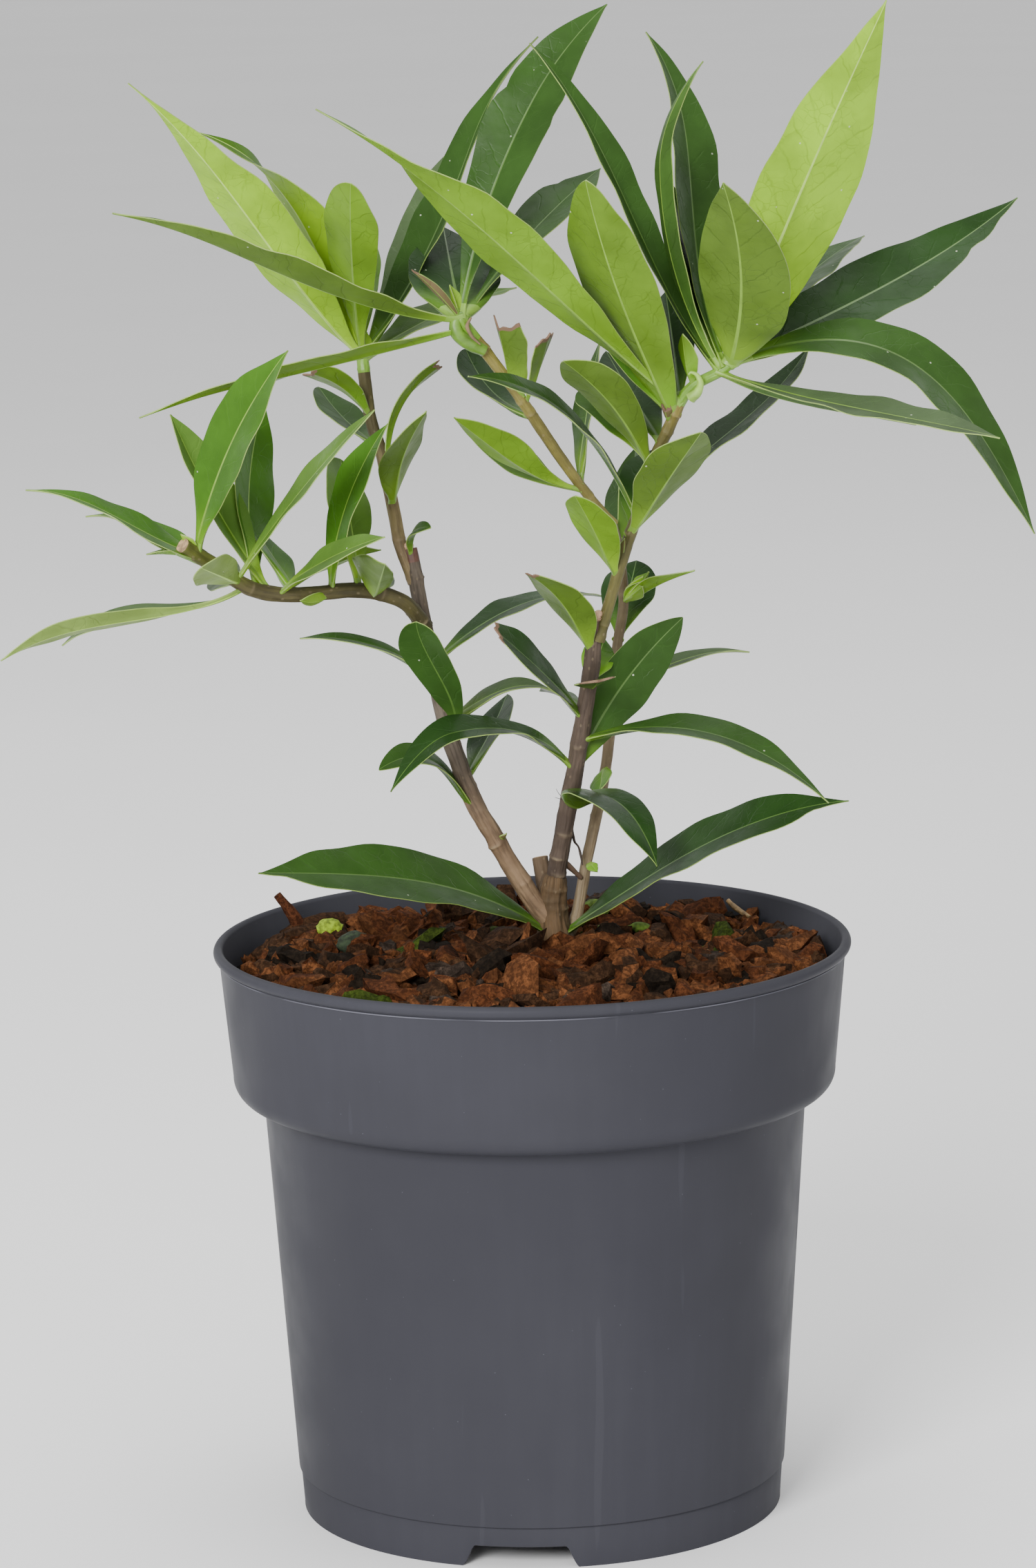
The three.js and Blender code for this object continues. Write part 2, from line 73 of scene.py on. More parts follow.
LIMBS = {
    "trunk": limb(5.6, 3.8, (8, 14, 161), (7, 14, 172), (6.5, 14, 180), (7, 14, 187)),
    "cut_stub": limb(2.2, 2.4, (6, 15, 177), (4, 18, 186), (3, 20, 193)),
    "centre_stem": limb(2.9, 2.3, (7, 14, 186), (9, 12, 197), (13, 9, 218), (16.5, 5, 238),
                        (19, 2, 253), (20.5, 0, 269)),
    "left_stem": limb(3, 2.2, (5, 14, 176), (0.2, 12, 182), (-8.6, 9, 198), (-17.8, 7, 216),
                      (-25, 6, 240), (-30, 7, 266), (-34, 10, 289)),
    "rear_stem": limb(1.75, 1.5, (9, 15, 169), (13, 17, 174), (17.5, 22, 194), (23.5, 29, 220),
                      (27, 34, 252), (29.5, 35, 268), (28.5, 33, 283), (26, 30, 293)),
    "left_crown": limb(1.9, 1.8, (-32.5, 9, 279), (-36.5, 10, 289), (-38.5, 13, 300),
                       (-42, 17, 317), (-45, 19, 327), (-47, 22, 345)),
    "middle_crown": limb(1.5, 1.7, (26.5, 30.6, 292), (18.2, 26, 303), (12.3, 22, 312),
                         (0, 13, 332), (-8, 8, 344), (-17.5, 3, 357.5)),
    "right_crown": limb(1.8, 1.6, (21, 0.5, 262), (23.6, -0.5, 270), (29, -5, 288), (34, -8, 303),
                        (37, -10, 314), (42, -13, 325), (46, -15, 334), (50, -17, 339),
                        (57, -19, 343), (61, -20, 346)),
    "side_crown": limb(2.2, 2.3, (-30, 7, 266), (-35, -1, 274), (-43, -4, 278),
                       (-52, -7, 279.5), (-62, -10, 279), (-71, -13, 279.5), (-80, -17, 282),
                       (-88, -21, 288), (-99, -30, 297)),
}

PAIR = {"lowering": 0.37, "shortest": 0.8, "spread": 0.14, "narrowing": 0.9}
UV_UNIT = 100  # Millimetres in one unit of the UV maps
OUTLINE = {"foot": 1.35, "tip": 1.2, "bluntness": 0.75}
WAVE = 0.7  # Height of the ruffles along a blade's margins
RIPPLE = 0.025  # Share by which a blade's width varies along it


def leaf(at, reach, width, **shape):
    """A leaf that grows at a share of the limb's length, with its tip at `reach` from the axis.

    arch and sway bend the midrib up and sideways in the middle. skew = (up, sideways) bends it
    more near the foot and the other way near the tip, and hook turns the last part more sharply.
    roll turns the blade about its chord; start_turn and end_turn add to it near the foot and
    near the tip, in degrees. belly is the share of the length where it is widest, drawn makes
    the tip longer and thinner, blunt rounds it, and kept is the share left of a leaf that was
    cut off short. lean makes one half wider, and fold and cup raise the margins. nicks are
    bites out of a margin: share, side, depth. look names the finish. pair adds a leaf on the
    far side, and may hold what is different about it.
    """
    plain = {"arch": 0, "sway": 0, "skew": (0, 0), "hook": (0, 0), "roll": 0, "start_turn": 0,
             "end_turn": 0, "belly": 0, "drawn": 0, "blunt": 0, "kept": 1, "lean": 0,
             "fold": 0.2, "cup": 0, "nicks": (), "look": "mature", "pair": False}
    return {**plain, "at": at, "reach": np.array(reach, float), "width": width, **shape}


LEAVES = {
    "left_crown": [
        leaf(1, (-64, -46, 85), 25, arch=1.6, skew=(-5.5, 0), roll=20, belly=0.43, drawn=0.8,
             pair={"reach": (-48, 38, 62), "width": 19}, look="young"),
        leaf(1, (-47, -20, 69), 21, arch=9.5, sway=-2, skew=(-7.5, 0), roll=22, end_turn=-70,
             belly=0.45, drawn=0.4, pair=True, look="young"),
        leaf(1, (-1, -44, 55), 17.5, arch=2, sway=1, roll=-25, blunt=0.7, lean=0.1,
             pair=True, look="lime"),
        leaf(1, (54, 20, 92), 18, arch=-2.2, sway=-2, skew=(-4, 0), hook=(-10, 0), roll=10,
             belly=0.4, drawn=0.6, fold=0.5),
        leaf(0.99, (25, 54, 55), 17, sway=2.5, roll=-20, blunt=0.5, fold=0.3, look="pale"),
        leaf(0.98, (46, 48, 16), 19, arch=3, look="lime"),
        leaf(0.35, (11, -27, 31), 16, arch=0.5, sway=2.5, roll=25, blunt=0.1, lean=-0.1,
             look="olive"),
        leaf(0.47, (16, 15, 31), 7, arch=5.5, sway=-2, roll=-55, kept=0.8, look="fresh"),
        leaf(0.74, (-17, -13, 15), 10, arch=2.5, sway=-1, roll=20, blunt=0.2, kept=0.8,
             look="fresh"),
        leaf(0.6, (-19, 37, 14), 14, arch=-1.8, roll=10, blunt=0.6),
    ],
    "middle_crown": [
        leaf(1, (45, 33, 89), 20.5, arch=6, sway=-5, hook=(-4, 0), roll=30, belly=0.59,
             drawn=-0.1, fold=0.3, nicks=((0.64, 1, 0.1), (0.66, -1, 0.15))),
        leaf(1, (-98, -45, 37), 17, arch=-2.3, sway=1, skew=(-6, 0), hook=(-2, 0), roll=2,
             fold=0.6, drawn=0.3, look="olive"),
        leaf(0.96, (-95, -30, -21), 13, sway=1, hook=(-4, 0), roll=25, belly=0.46, drawn=0.4,
             look="fresh"),
        leaf(0.99, (42, 47, 40), 22, arch=3, belly=0.68, nicks=((0.84, -1, 0.2),)),
        leaf(0.63, (-5.5, -8, 22), 14.5, roll=-25, blunt=0.6, belly=0.5, kept=0.6, fold=0.5,
             look="olive"),
        leaf(0.59, (7, -11, 21), 9, roll=30, blunt=0.5, kept=0.7, look="olive"),
        leaf(0.53, (-20, 33, 17), 17, arch=-3.5, sway=-1, roll=10, blunt=0.6, look="deep"),
        leaf(1, (-5, 45, 23), 27, blunt=0.2, belly=0.42, look="deep"),
        leaf(0.18, (-38, -17, 24.5), 13, arch=-2.5, sway=1, skew=(-2, 0), roll=30, blunt=0.1,
             belly=0.62, lean=-0.25, pair=True, look="lime"),
        leaf(0.2, (7, 21, 41), 15, sway=-1, roll=-50, look="olive"),
    ],
    "right_crown": [
        leaf(0.99, (45, -20, 105), 33, arch=1.5, sway=-1, roll=-40, belly=0.45, lean=-0.2,
             pair={"reach": (33, 29, 79), "roll": -35, "arch": -3}, look="young"),
        leaf(0.99, (87, 40, 43), 23, arch=-3.2, sway=-1, skew=(2.5, 0), roll=35, blunt=0.1,
             belly=0.46, nicks=((0.8, 1, 0.22), (0.92, 1, 0.25)), look="deep"),
        leaf(0.99, (88, -2, -51), 23, arch=25.5, skew=(10.5, 0), roll=30, belly=0.5),
        leaf(0.95, (77, -53, -14), 16, arch=-1, skew=(-2, 0), roll=10, belly=0.6,
             pair={"reach": (60, 44, -22), "width": 12, "arch": -2, "look": "mature"},
             look="pale"),
        leaf(1, (-4, -58, 57), 28, sway=-4, roll=-20, blunt=0.25, belly=0.45, pair=True,
             look="olive"),
        leaf(0.95, (-53, 29, 94), 12, arch=0.3, sway=2, skew=(-8, 0), roll=-10, fold=0.5),
        leaf(0.97, (-20, 54, 94), 18.5, arch=2, sway=1, skew=(0, -9), hook=(0, -4),
             roll=25, fold=0.4),
        leaf(0.96, (-4, 3, 89), 10, arch=-10, sway=-7, hook=(8, 6), roll=65),
        leaf(0.99, (44, 78, 29), 23, arch=3.5, sway=-1, roll=-10),
        leaf(0.79, (-102, -51, 91), 23, arch=3.5, sway=1, skew=(-4.5, 0), roll=30,
             end_turn=-50, belly=0.54, drawn=0.45, look="lime"),
        leaf(0.75, (-25, -38, 72), 26, sway=3, blunt=0.6, belly=0.55, lean=0.08, pair=True,
             look="fresh"),
        leaf(0.8, (-3, 37, 28), 15, roll=-25, blunt=0.4, look="deep"),
        leaf(0.57, (-25, -28, 35), 17, arch=3, sway=-1, roll=15, blunt=0.7, pair=True,
             look="olive"),
        leaf(0.41, (-48, -57, 49), 11, arch=11, roll=-40),
        # The partner at the back of this leaf takes the deep look: painted shade.
        leaf(0.35, (20, -32, 34), 20, arch=1, sway=-0.6, roll=-5, blunt=0.5,
             pair={"reach": (10, 26, 22), "look": "deep"}, look="olive"),
        leaf(0.34, (56, 54, 49), 16, arch=1.2, sway=1, skew=(8, 0), roll=-5, blunt=0.4,
             belly=0.6, look="deep"),
        leaf(0.21, (-12, -27, 28), 15, arch=1, roll=-5, blunt=0.5, lean=0.05, look="lime"),
        leaf(0.65, (-15, 40, 23), 17, roll=10, blunt=0.3, look="deep"),
        leaf(0.96, (-14, 28, 54), 15, roll=20, look="deep"),
    ],
    "side_crown": [
        leaf(0.85, (-52.8, -16, 25.3), 17, arch=2, skew=(-3.5, 0), hook=(-2, 0), roll=-17,
             belly=0.42, drawn=0.6, pair={"reach": (-38, 15, 13), "roll": -5}, look="fresh"),
        leaf(0.71, (-70, -28, -16), 11, arch=1, skew=(-7, 0), roll=38, belly=0.66,
             pair={"reach": (-56, 22, -20), "roll": -25}, look="pale"),
        leaf(0.93, (28.5, -18, 61), 22.5, arch=3.6, sway=2, roll=65, look="fresh"),
        leaf(0.63, (-27.5, 8, 52), 18, arch=-1, sway=-1, roll=-15, blunt=0.2, fold=0.5,
             look="lime"),
        leaf(0.67, (2, 36, 51), 22, sway=-3.5, roll=65, blunt=0.3, look="fresh"),
        leaf(0.75, (42, -31, 53), 11.5, arch=2.5, sway=-1, roll=45, look="lime"),
        leaf(0.74, (-9, -37, 10), 13, roll=40, blunt=0.5, pair=True, look="pale"),
        leaf(0.54, (-12, 20, 18), 17, roll=35, blunt=0.3, look="fresh"),
        leaf(0.59, (32, -33, 21), 12, arch=2, sway=1, roll=40, pair=True, look="lime"),
        leaf(0.32, (-5, 22, 36), 20, arch=2, roll=40, blunt=0.7, lean=-0.15, look="lime"),
        leaf(0.41, (18, -13, 51), 15.5, arch=3.5, sway=2, roll=65, look="fresh"),
        leaf(0.255, (3.5, -38, 14), 13, roll=-20, belly=0.4, blunt=0.1, lean=0.45, cup=0.3,
             pair=True, look="olive"),
        leaf(0.41, (-9, -8, -1.2), 4.5, arch=-1, roll=60, blunt=0.2, look="olive"),
    ],
    "trunk": [
        leaf(0.3, (-87, -44, 31), 25.5, arch=8, sway=1, skew=(4, 0), roll=-30,
             nicks=((0.93, -1, 0.4),)),
        leaf(0.31, (86.3, -36, 47.4), 23, arch=6.3, skew=(-3.5, 0), roll=25, drawn=0.1,
             end_turn=20, nicks=((0.9, 1, 0.4), (0.95, 1, 0.4)), look="deep"),
    ],
    "left_stem": [
        leaf(0.32, (-29.7, -13, 16.3), 13, arch=8.2, skew=(-7.5, 0), hook=(1, 0), roll=-18,
             blunt=0.6),
        leaf(0.41, (13, 31, 20.8), 15, arch=1, sway=1, roll=-25, blunt=0.3, look="deep"),
        leaf(0.515, (-9.3, -29, 41), 14.5, sway=-2.7, skew=(0, -6), roll=180, belly=0.74,
             blunt=0.9),
        leaf(0.56, (31, 8, 8.6), 13, arch=4.2, skew=(-3, 0), roll=5, blunt=0.3, look="pale"),
        leaf(0.67, (-40, -2, 14), 8, arch=4.6, roll=-12),
        leaf(0.71, (52, 56, 11), 14, arch=8, sway=1, look="deep"),
        leaf(0.97, (6, -16, 12), 5.5, arch=3.5, sway=2, roll=45, blunt=0.6),
    ],
    "centre_stem": [
        leaf(0.31, (25, -40, -12), 20.5, arch=8, sway=-3, skew=(2.5, 0), roll=-5, belly=0.37,
             lean=0.28, look="deep"),
        leaf(0.43, (-54, -44, 2.7), 16.5, arch=14, sway=1, skew=(4, 0), hook=(-12, 0),
             roll=-12, start_turn=-25, belly=0.52, look="deep"),
        leaf(0.43, (33, 6, 44.5), 17, arch=3.1, roll=95, blunt=0.5, belly=0.57),
        leaf(0.54, (72, -36, -13.3), 17, arch=11.9, skew=(-0.5, 0), roll=10, drawn=0.25),
        leaf(0.62, (-25, -21, 30), 15.5, arch=1, sway=-1, roll=-45, blunt=0.1, kept=0.85,
             look="deep"),
        leaf(0.65, (-13, 36, 0.5), 8, arch=2, roll=15),
        leaf(0.75, (2.3, -19, 4.5), 12.5, roll=8, blunt=0.4, kept=0.8, fold=0.1),
        leaf(0.76, (5, 14, 11), 10, roll=20, look="fresh"),
        leaf(0.86, (-18, -23, 28), 17, arch=3.5, blunt=0.1, kept=0.95, look="olive"),
    ],
    "rear_stem": [
        leaf(0.415, (-2, -15, -4), 8, roll=30, blunt=0.6, look="fresh"),
        leaf(0.586, (42, 19, 8.7), 8.5, arch=4, sway=1, skew=(-1.5, 0), roll=5, look="pale"),
        leaf(0.71, (6.5, 27, 20), 17, blunt=0.5, look="deep"),
        leaf(0.8, (21, -19, 12), 10, arch=1, sway=1, roll=-5, look="lime"),
        leaf(0.89, (6, 35, 31), 20, roll=-40, blunt=0.3),
        leaf(0.93, (7, 12, 24), 13, roll=-90, blunt=0.6),
    ],
}
CROWNS = ("left_crown", "side_crown", "middle_crown", "right_crown")
# Seed of the first leaf on each crown, on each stem and among the small growth.
CROWN_SEED, STEM_SEED, GROWTH_SEED = 0, 50, 90


def chance(n):
    """A repeatable number from 0 to 1 for each whole number."""
    value = sin(n * 12.9898 + SEED * 78.233) * 43758.5453
    return value % 1.0


def partner_of(spec, number):
    """The far-side partner of a leaf: its reach mirrored to the back, lowered and shorter."""
    right, back, up = spec["reach"]
    length = PAIR["shortest"] + PAIR["spread"] * chance(number)
    reach = np.array((right, -back, up + PAIR["lowering"] * back)) * length
    mirrored = {key: -spec[key] for key in ("sway", "roll", "start_turn", "end_turn", "lean")}
    bends = {key: (spec[key][0], -spec[key][1]) for key in ("skew", "hook")}
    changes = spec["pair"] if isinstance(spec["pair"], dict) else {}
    return {**spec, "reach": reach, "width": spec["width"] * PAIR["narrowing"], **mirrored,
            **bends, **changes}


def leaves_of(name):
    """Every leaf of a limb, with its partners on a crown."""
    rows = []
    for number, spec in enumerate(LEAVES[name]):
        rows.append(spec)
        if spec["pair"]:
            rows.append(partner_of(spec, number))
    return rows


# ---- Numbers ----

CURVE_STEPS = 801


def unit(vectors):
    """Vectors at length one."""
    return vectors / np.linalg.norm(vectors, axis=-1, keepdims=True)


def ease(x, low, high):
    """0 below low, 1 above high and a smooth S between them."""
    t = np.clip((x - low) / (high - low), 0, 1)
    return t * t * (3 - 2 * t)


def lattice(i, j, seed):
    """A repeatable number from 0 to 1 for each pair of whole numbers."""
    value = np.sin(i * 12.9898 + j * 78.233 + seed * 37.719) * 43758.5453
    return value - np.floor(value)


def noise(x, y, period=0, seed=0):
    """Numbers from -1 to 1 at whole x and y, blended smoothly between; x repeats after period."""
    xi, yi = np.floor(x), np.floor(y)
    xf, yf = ease(x - xi, 0, 1), ease(y - yi, 0, 1)
    wrap = (lambda i: np.mod(i, period)) if period else (lambda i: i)
    near = lattice(wrap(xi), yi, seed) * (1 - xf) + lattice(wrap(xi + 1), yi, seed) * xf
    far = lattice(wrap(xi), yi + 1, seed) * (1 - xf) + lattice(wrap(xi + 1), yi + 1, seed) * xf
    return 2 * (near * (1 - yf) + far * yf) - 1


def axis_at(guide, shares):
    """Points and unit tangents at shares of the length of a uniform Catmull-Rom curve, and its
    length. guide is a limb's name or its guide points.

    Each stretch is the cubic through two guide points whose slopes are half the step between
    their neighbours; the curve's ends are reflected for their missing neighbour.
    """
    p = np.array(LIMBS[guide]["points"] if isinstance(guide, str) else guide, float)
    p = np.vstack([2 * p[0] - p[1], p, 2 * p[-1] - p[-2]])
    t = np.linspace(0, len(p) - 3, CURVE_STEPS)
    i = np.minimum(t.astype(int), len(p) - 4)
    w = (t - i)[:, None]
    a, b, c, d = p[i], p[i + 1], p[i + 2], p[i + 3]
    dense = ((2 * w**3 - 3 * w**2 + 1) * b + (w**3 - 2 * w**2 + w) * (c - a) / 2
             + (3 * w**2 - 2 * w**3) * c + (w**3 - w**2) * (d - b) / 2)
    run = np.append(0, np.cumsum(np.linalg.norm(np.diff(dense, axis=0), axis=1)))
    slopes = np.gradient(dense, run, axis=0)
    at = np.asarray(shares, float) * run[-1]
    points = np.stack([np.interp(at, run, dense[:, k]) for k in range(3)], -1)
    tangents = np.stack([np.interp(at, run, slopes[:, k]) for k in range(3)], -1)
    return points, unit(tangents), run[-1]


# ---- Meshes ----


class Shape:
    """Vertices, faces, finishes and per-vertex values gathered for one mesh."""

    def __init__(self):
        self.points, self.faces, self.slots, self.values, self.uvs = [], [], [], [], []
        self.count = 0

    def cover(self, faces, slots):
        """Faces between points that are there. slots is one finish number for each, or one."""
        self.faces.append(faces)
        self.slots.append(np.broadcast_to(slots, len(faces)).astype(int))

    def add(self, points, faces, slots, values=None, uv=None):
        """Adds points, and faces that number them from 0. Returns the number of the first."""
        first = self.count
        points = np.asarray(points, float).reshape(-1, 3)
        self.points.append(points)
        self.cover(np.asarray(faces, int) + first, slots)
        values = np.zeros(len(points)) if values is None else np.asarray(values, float)
        self.values.append(values.reshape(-1))
        uv = np.zeros((len(points), 2)) if uv is None else np.asarray(uv, float)
        self.uvs.append(uv.reshape(-1, 2))
        self.count += len(points)
        return first

    def make(self, name, finishes, crease=50.0):
        """One object at the origin, smooth except across edges sharper than crease degrees."""
        mesh = bpy.data.meshes.new(name)
        points = np.vstack(self.points) * MM
        loops = np.concatenate([f.ravel() for f in self.faces])
        sizes = np.concatenate([np.full(len(f), f.shape[1]) for f in self.faces])
        starts = np.append(0, np.cumsum(sizes)[:-1])
        mesh.vertices.add(len(points))
        mesh.vertices.foreach_set("co", points.ravel())
        mesh.loops.add(len(loops))
        mesh.loops.foreach_set("vertex_index", loops)
        mesh.polygons.add(len(sizes))
        mesh.polygons.foreach_set("loop_start", starts)
        mesh.polygons.foreach_set("material_index", np.concatenate(self.slots))
        mesh.update(calc_edges=True)
        mesh.uv_layers.new(name="surface")
        mesh.uv_layers["surface"].data.foreach_set("uv", np.vstack(self.uvs)[loops].ravel())
        mark = mesh.attributes.new("mark", "FLOAT", "POINT")
        mark.data.foreach_set("value", np.concatenate(self.values))
        for finish in finishes:
            mesh.materials.append(finish)
        mesh.shade_smooth()
        mesh.set_sharp_from_angle(angle=radians(crease))
        piece = bpy.data.objects.new(name, mesh)
        bpy.context.scene.collection.objects.link(piece)
        return piece


def grid_faces(rows, columns, closed=False):
    """Quads of a grid whose points are numbered row by row; closed joins the last column."""
    i, j = np.meshgrid(np.arange(rows - 1), np.arange(columns - (not closed)), indexing="ij")
    k = (j + 1) % columns
    quads = (i * columns + j, i * columns + k, (i + 1) * columns + k, (i + 1) * columns + j)
    return np.stack([q.ravel() for q in quads], 1)


def fit(piece, slot, *nodes):
    """The piece rides on the plant's one body and stands for nodes, whose solids it hides. slot is
    not used.
    """
    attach(piece, "root")
    if nodes:
        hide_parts(*nodes)


# ---- Finishes ----

SCAR_COLOR = (0.36, 0.28, 0.17)
SPECK_COLOR = (0.55, 0.6, 0.45)
# Numbers of the sockets through which a mix node takes and gives colours.
MIX_FACTOR, MIX_A, MIX_B, MIX_RESULT = 0, 6, 7, 2


class Finish:
    """A Principled material, with short calls that add and link its nodes."""

    def __init__(self, name, color, roughness, **sockets):
        self.material = bpy.data.materials.new(name)
        self.material.use_nodes = True
        self.tree = self.material.node_tree
        self.shader = self.tree.nodes["Principled BSDF"]
        self.color = tuple(color)
        self.shader.inputs["Base Color"].default_value = (*color, 1)
        self.shader.inputs["Roughness"].default_value = roughness
        for socket, value in sockets.items():
            self.shader.inputs[socket.replace("_", " ")].default_value = value
        self.material.diffuse_color = (*color, 1)

    def node(self, kind, inputs=(), **settings):
        """Adds a node. inputs pairs a socket's name or number with a value or an output."""
        made = self.tree.nodes.new(kind)
        for key, value in settings.items():
            setattr(made, key, value)
        for key, value in dict(inputs).items():
            if isinstance(value, bpy.types.NodeSocket):
                self.tree.links.new(value, made.inputs[key])
            else:
                made.inputs[key].default_value = value
        return made

    def place(self, scale=(1, 1, 1), turn=(0, 0, 0), uv=False):
        """Object coordinates, or the piece's own UV map, stretched by scale."""
        if uv:
            source = self.node("ShaderNodeUVMap", uv_map="surface").outputs[0]
        else:
            source = self.node("ShaderNodeTexCoord").outputs["Object"]
        inputs = {"Vector": source, "Scale": scale, "Rotation": turn}
        return self.node("ShaderNodeMapping", inputs).outputs[0]

    def noise(self, where, scale, detail=3.0, rough=0.55, distort=0.0):
        """Clouds from 0 to 1."""
        inputs = {"Vector": where, "Scale": scale, "Detail": detail, "Roughness": rough,
                  "Distortion": distort}
        return self.node("ShaderNodeTexNoise", inputs).outputs["Fac"]

    def cells(self, where, scale, feature="F1"):
        """Distance from the middles or the edges of random cells."""
        inputs = {"Vector": where, "Scale": scale}
        return self.node("ShaderNodeTexVoronoi", inputs, feature=feature).outputs["Distance"]

    def mark(self):
        """The number that each vertex of the piece carries."""
        return self.node("ShaderNodeAttribute", attribute_name="mark").outputs["Fac"]

    def math(self, operation, a, b=0.0):
        """One step of arithmetic on outputs or numbers."""
        return self.node("ShaderNodeMath", {0: a, 1: b}, operation=operation).outputs[0]

    def times(self, a, b):
        """The product of outputs or numbers."""
        return self.math("MULTIPLY", a, b)

    def ramp(self, value, low, high, out_low=0.0, out_high=1.0):
        """value from low to high, smoothly carried to out_low to out_high and held beyond."""
        inputs = {"Value": value, "From Min": low, "From Max": high, "To Min": out_low,
                  "To Max": out_high}
        return self.node("ShaderNodeMapRange", inputs,
                         interpolation_type="SMOOTHSTEP").outputs["Result"]

    def blend(self, factor, a, b, how="MIX"):
        """Two colours mixed by a factor; a colour is given as three numbers or an output."""
        a, b = (c if isinstance(c, bpy.types.NodeSocket) else (*c, 1) for c in (a, b))
        inputs = {MIX_A: a, MIX_B: b, MIX_FACTOR: factor}
        made = self.node("ShaderNodeMix", inputs, data_type="RGBA", blend_type=how)
        return made.outputs[MIX_RESULT]

    def mottle(self, value, low, high, dark, light):
        """The finish's own colour, from darker to lighter as value goes from low to high."""
        return self.blend(self.ramp(value, low, high), tinted(self.color, dark),
                          tinted(self.color, light))

    def shade(self, factor, under, change):
        """A colour blended by a factor with the finish's own, made darker or lighter."""
        return self.blend(factor, under, tinted(self.color, change))

    def bump(self, height, distance, strength=1.0, under=None):
        """Relief of a height in millimetres; under is a bump that this one adds to."""
        inputs = {"Height": height, "Distance": distance * MM, "Strength": strength}
        if under is not None:
            inputs["Normal"] = under
        return self.node("ShaderNodeBump", inputs).outputs[0]

    def wear(self, **links):
        """Links outputs to the shader's sockets and returns the material."""
        for socket, value in links.items():
            self.tree.links.new(value, self.shader.inputs[socket.replace("_", " ")])
        return self.material


def tinted(color, factor):
    """A colour made lighter or darker."""
    return tuple(min(1.0, c * factor) for c in color)


def pot_finish(settings):
    """Satin moulded plastic with clouding, faint upright flow lines, specks and scuffs."""
    f = Finish("pot_plastic", settings.color, 0.42, Specular_IOR_Level=0.03)
    where = f.place()
    flow = f.noise(f.place((1, 1, 0.05)), 260.0, 2.0)
    speck = f.ramp(f.cells(where, 210.0), 0.045, 0.02)
    scratch = f.ramp(f.noise(f.place((1, 1, 0.04), (0.5, 0.2, 0)), 150.0, 1.0, 0.4, 0.6),
                     0.735, 0.76)
    color = f.mottle(f.noise(where, 11.0, 4.0), 0.3, 0.7, 0.92, 1.08)
    color = f.shade(f.ramp(flow, 0.3, 0.7, 0.0, 0.25), color, 0.9)
    color = f.shade(f.times(speck, 0.35), color, 4.0)
    color = f.shade(f.times(scratch, 0.05), color, 3.0)
    color = f.shade(f.mark(), color, 3.4)
    rough = f.ramp(f.noise(where, 30.0, 3.0), 0.3, 0.7, 0.36, 0.5)
    grain = f.bump(f.noise(where, 2600.0, 2.0), 0.02, 0.5)
    return f.wear(Base_Color=color, Roughness=rough, Normal=f.bump(flow, 0.05, 0.35, grain))


def chip_finish(name, color, rough=0.88):
    """Flaky bark: fibres, pits and crumbs, with painted shade that darkens its hollows."""
    f = Finish(name, color, rough, Specular_IOR_Level=0.08)
    where = f.place()
    crumbs_and_shade = f.noise(where, 700.0, 6.0, 0.72)
    patch = f.noise(where, 130.0, 3.0, 0.6)
    fibre = f.noise(f.place((1, 0.25, 0.6), (0.4, 0.3, 0.6)), 420.0, 4.0, 0.65)
    color = f.mottle(patch, 0.32, 0.68, 0.6, 1.25)
    # Painted shade: darker in the grooves between fibres and the hollows among crumbs, where their
    # bumps sink.
    color = f.shade(f.ramp(fibre, 0.58, 0.4, 0.0, 0.5), color, 0.4)
    color = f.shade(f.ramp(crumbs_and_shade, 0.6, 0.42, 0.0, 0.8), color, 0.22)
    layers = f.bump(fibre, 0.6, 0.8, f.bump(crumbs_and_shade, 0.8, 0.9))
    return f.wear(Base_Color=color, Normal=f.bump(patch, 1.2, 0.6, layers))


def wood_finish(name, color, second, streaks, rough, above=None):
    """Bark on a stem: fine upright fissures, lenticels and pale scars where leaves fell. Its
    colour may change with height: above is where that starts and ends, and the change."""
    f = Finish(name, color, rough, Specular_IOR_Level=0.3)
    fibre = f.noise(f.place((1, 0.09, 1), uv=True), 90.0, 4.0, 0.6)
    patch = f.noise(f.place(), 90.0, 3.0, 0.6)
    dots = f.ramp(f.cells(f.place((1, 0.7, 1), uv=True), 46.0), 0.22, 0.1)
    color = f.blend(f.ramp(patch, 0.36, 0.64), f.color, second)
    color = f.shade(f.ramp(fibre, 0.55, 0.35, 0.0, 0.6 * streaks), color, 0.4)
    if above:
        height = f.node("ShaderNodeSeparateXYZ", {0: f.place()}).outputs[2]
        color = f.blend(f.ramp(height, *above[:2]), color, above[2], "MULTIPLY")
    color = f.blend(f.times(dots, 0.3), color, tinted(SCAR_COLOR, 0.7))
    color = f.blend(f.mark(), color, SCAR_COLOR)
    grain = f.bump(f.noise(f.place(uv=True), 260.0, 4.0, 0.6), 0.12, 0.6)
    return f.wear(Base_Color=color, Normal=f.bump(fibre, 0.25, 0.7 * streaks, grain))


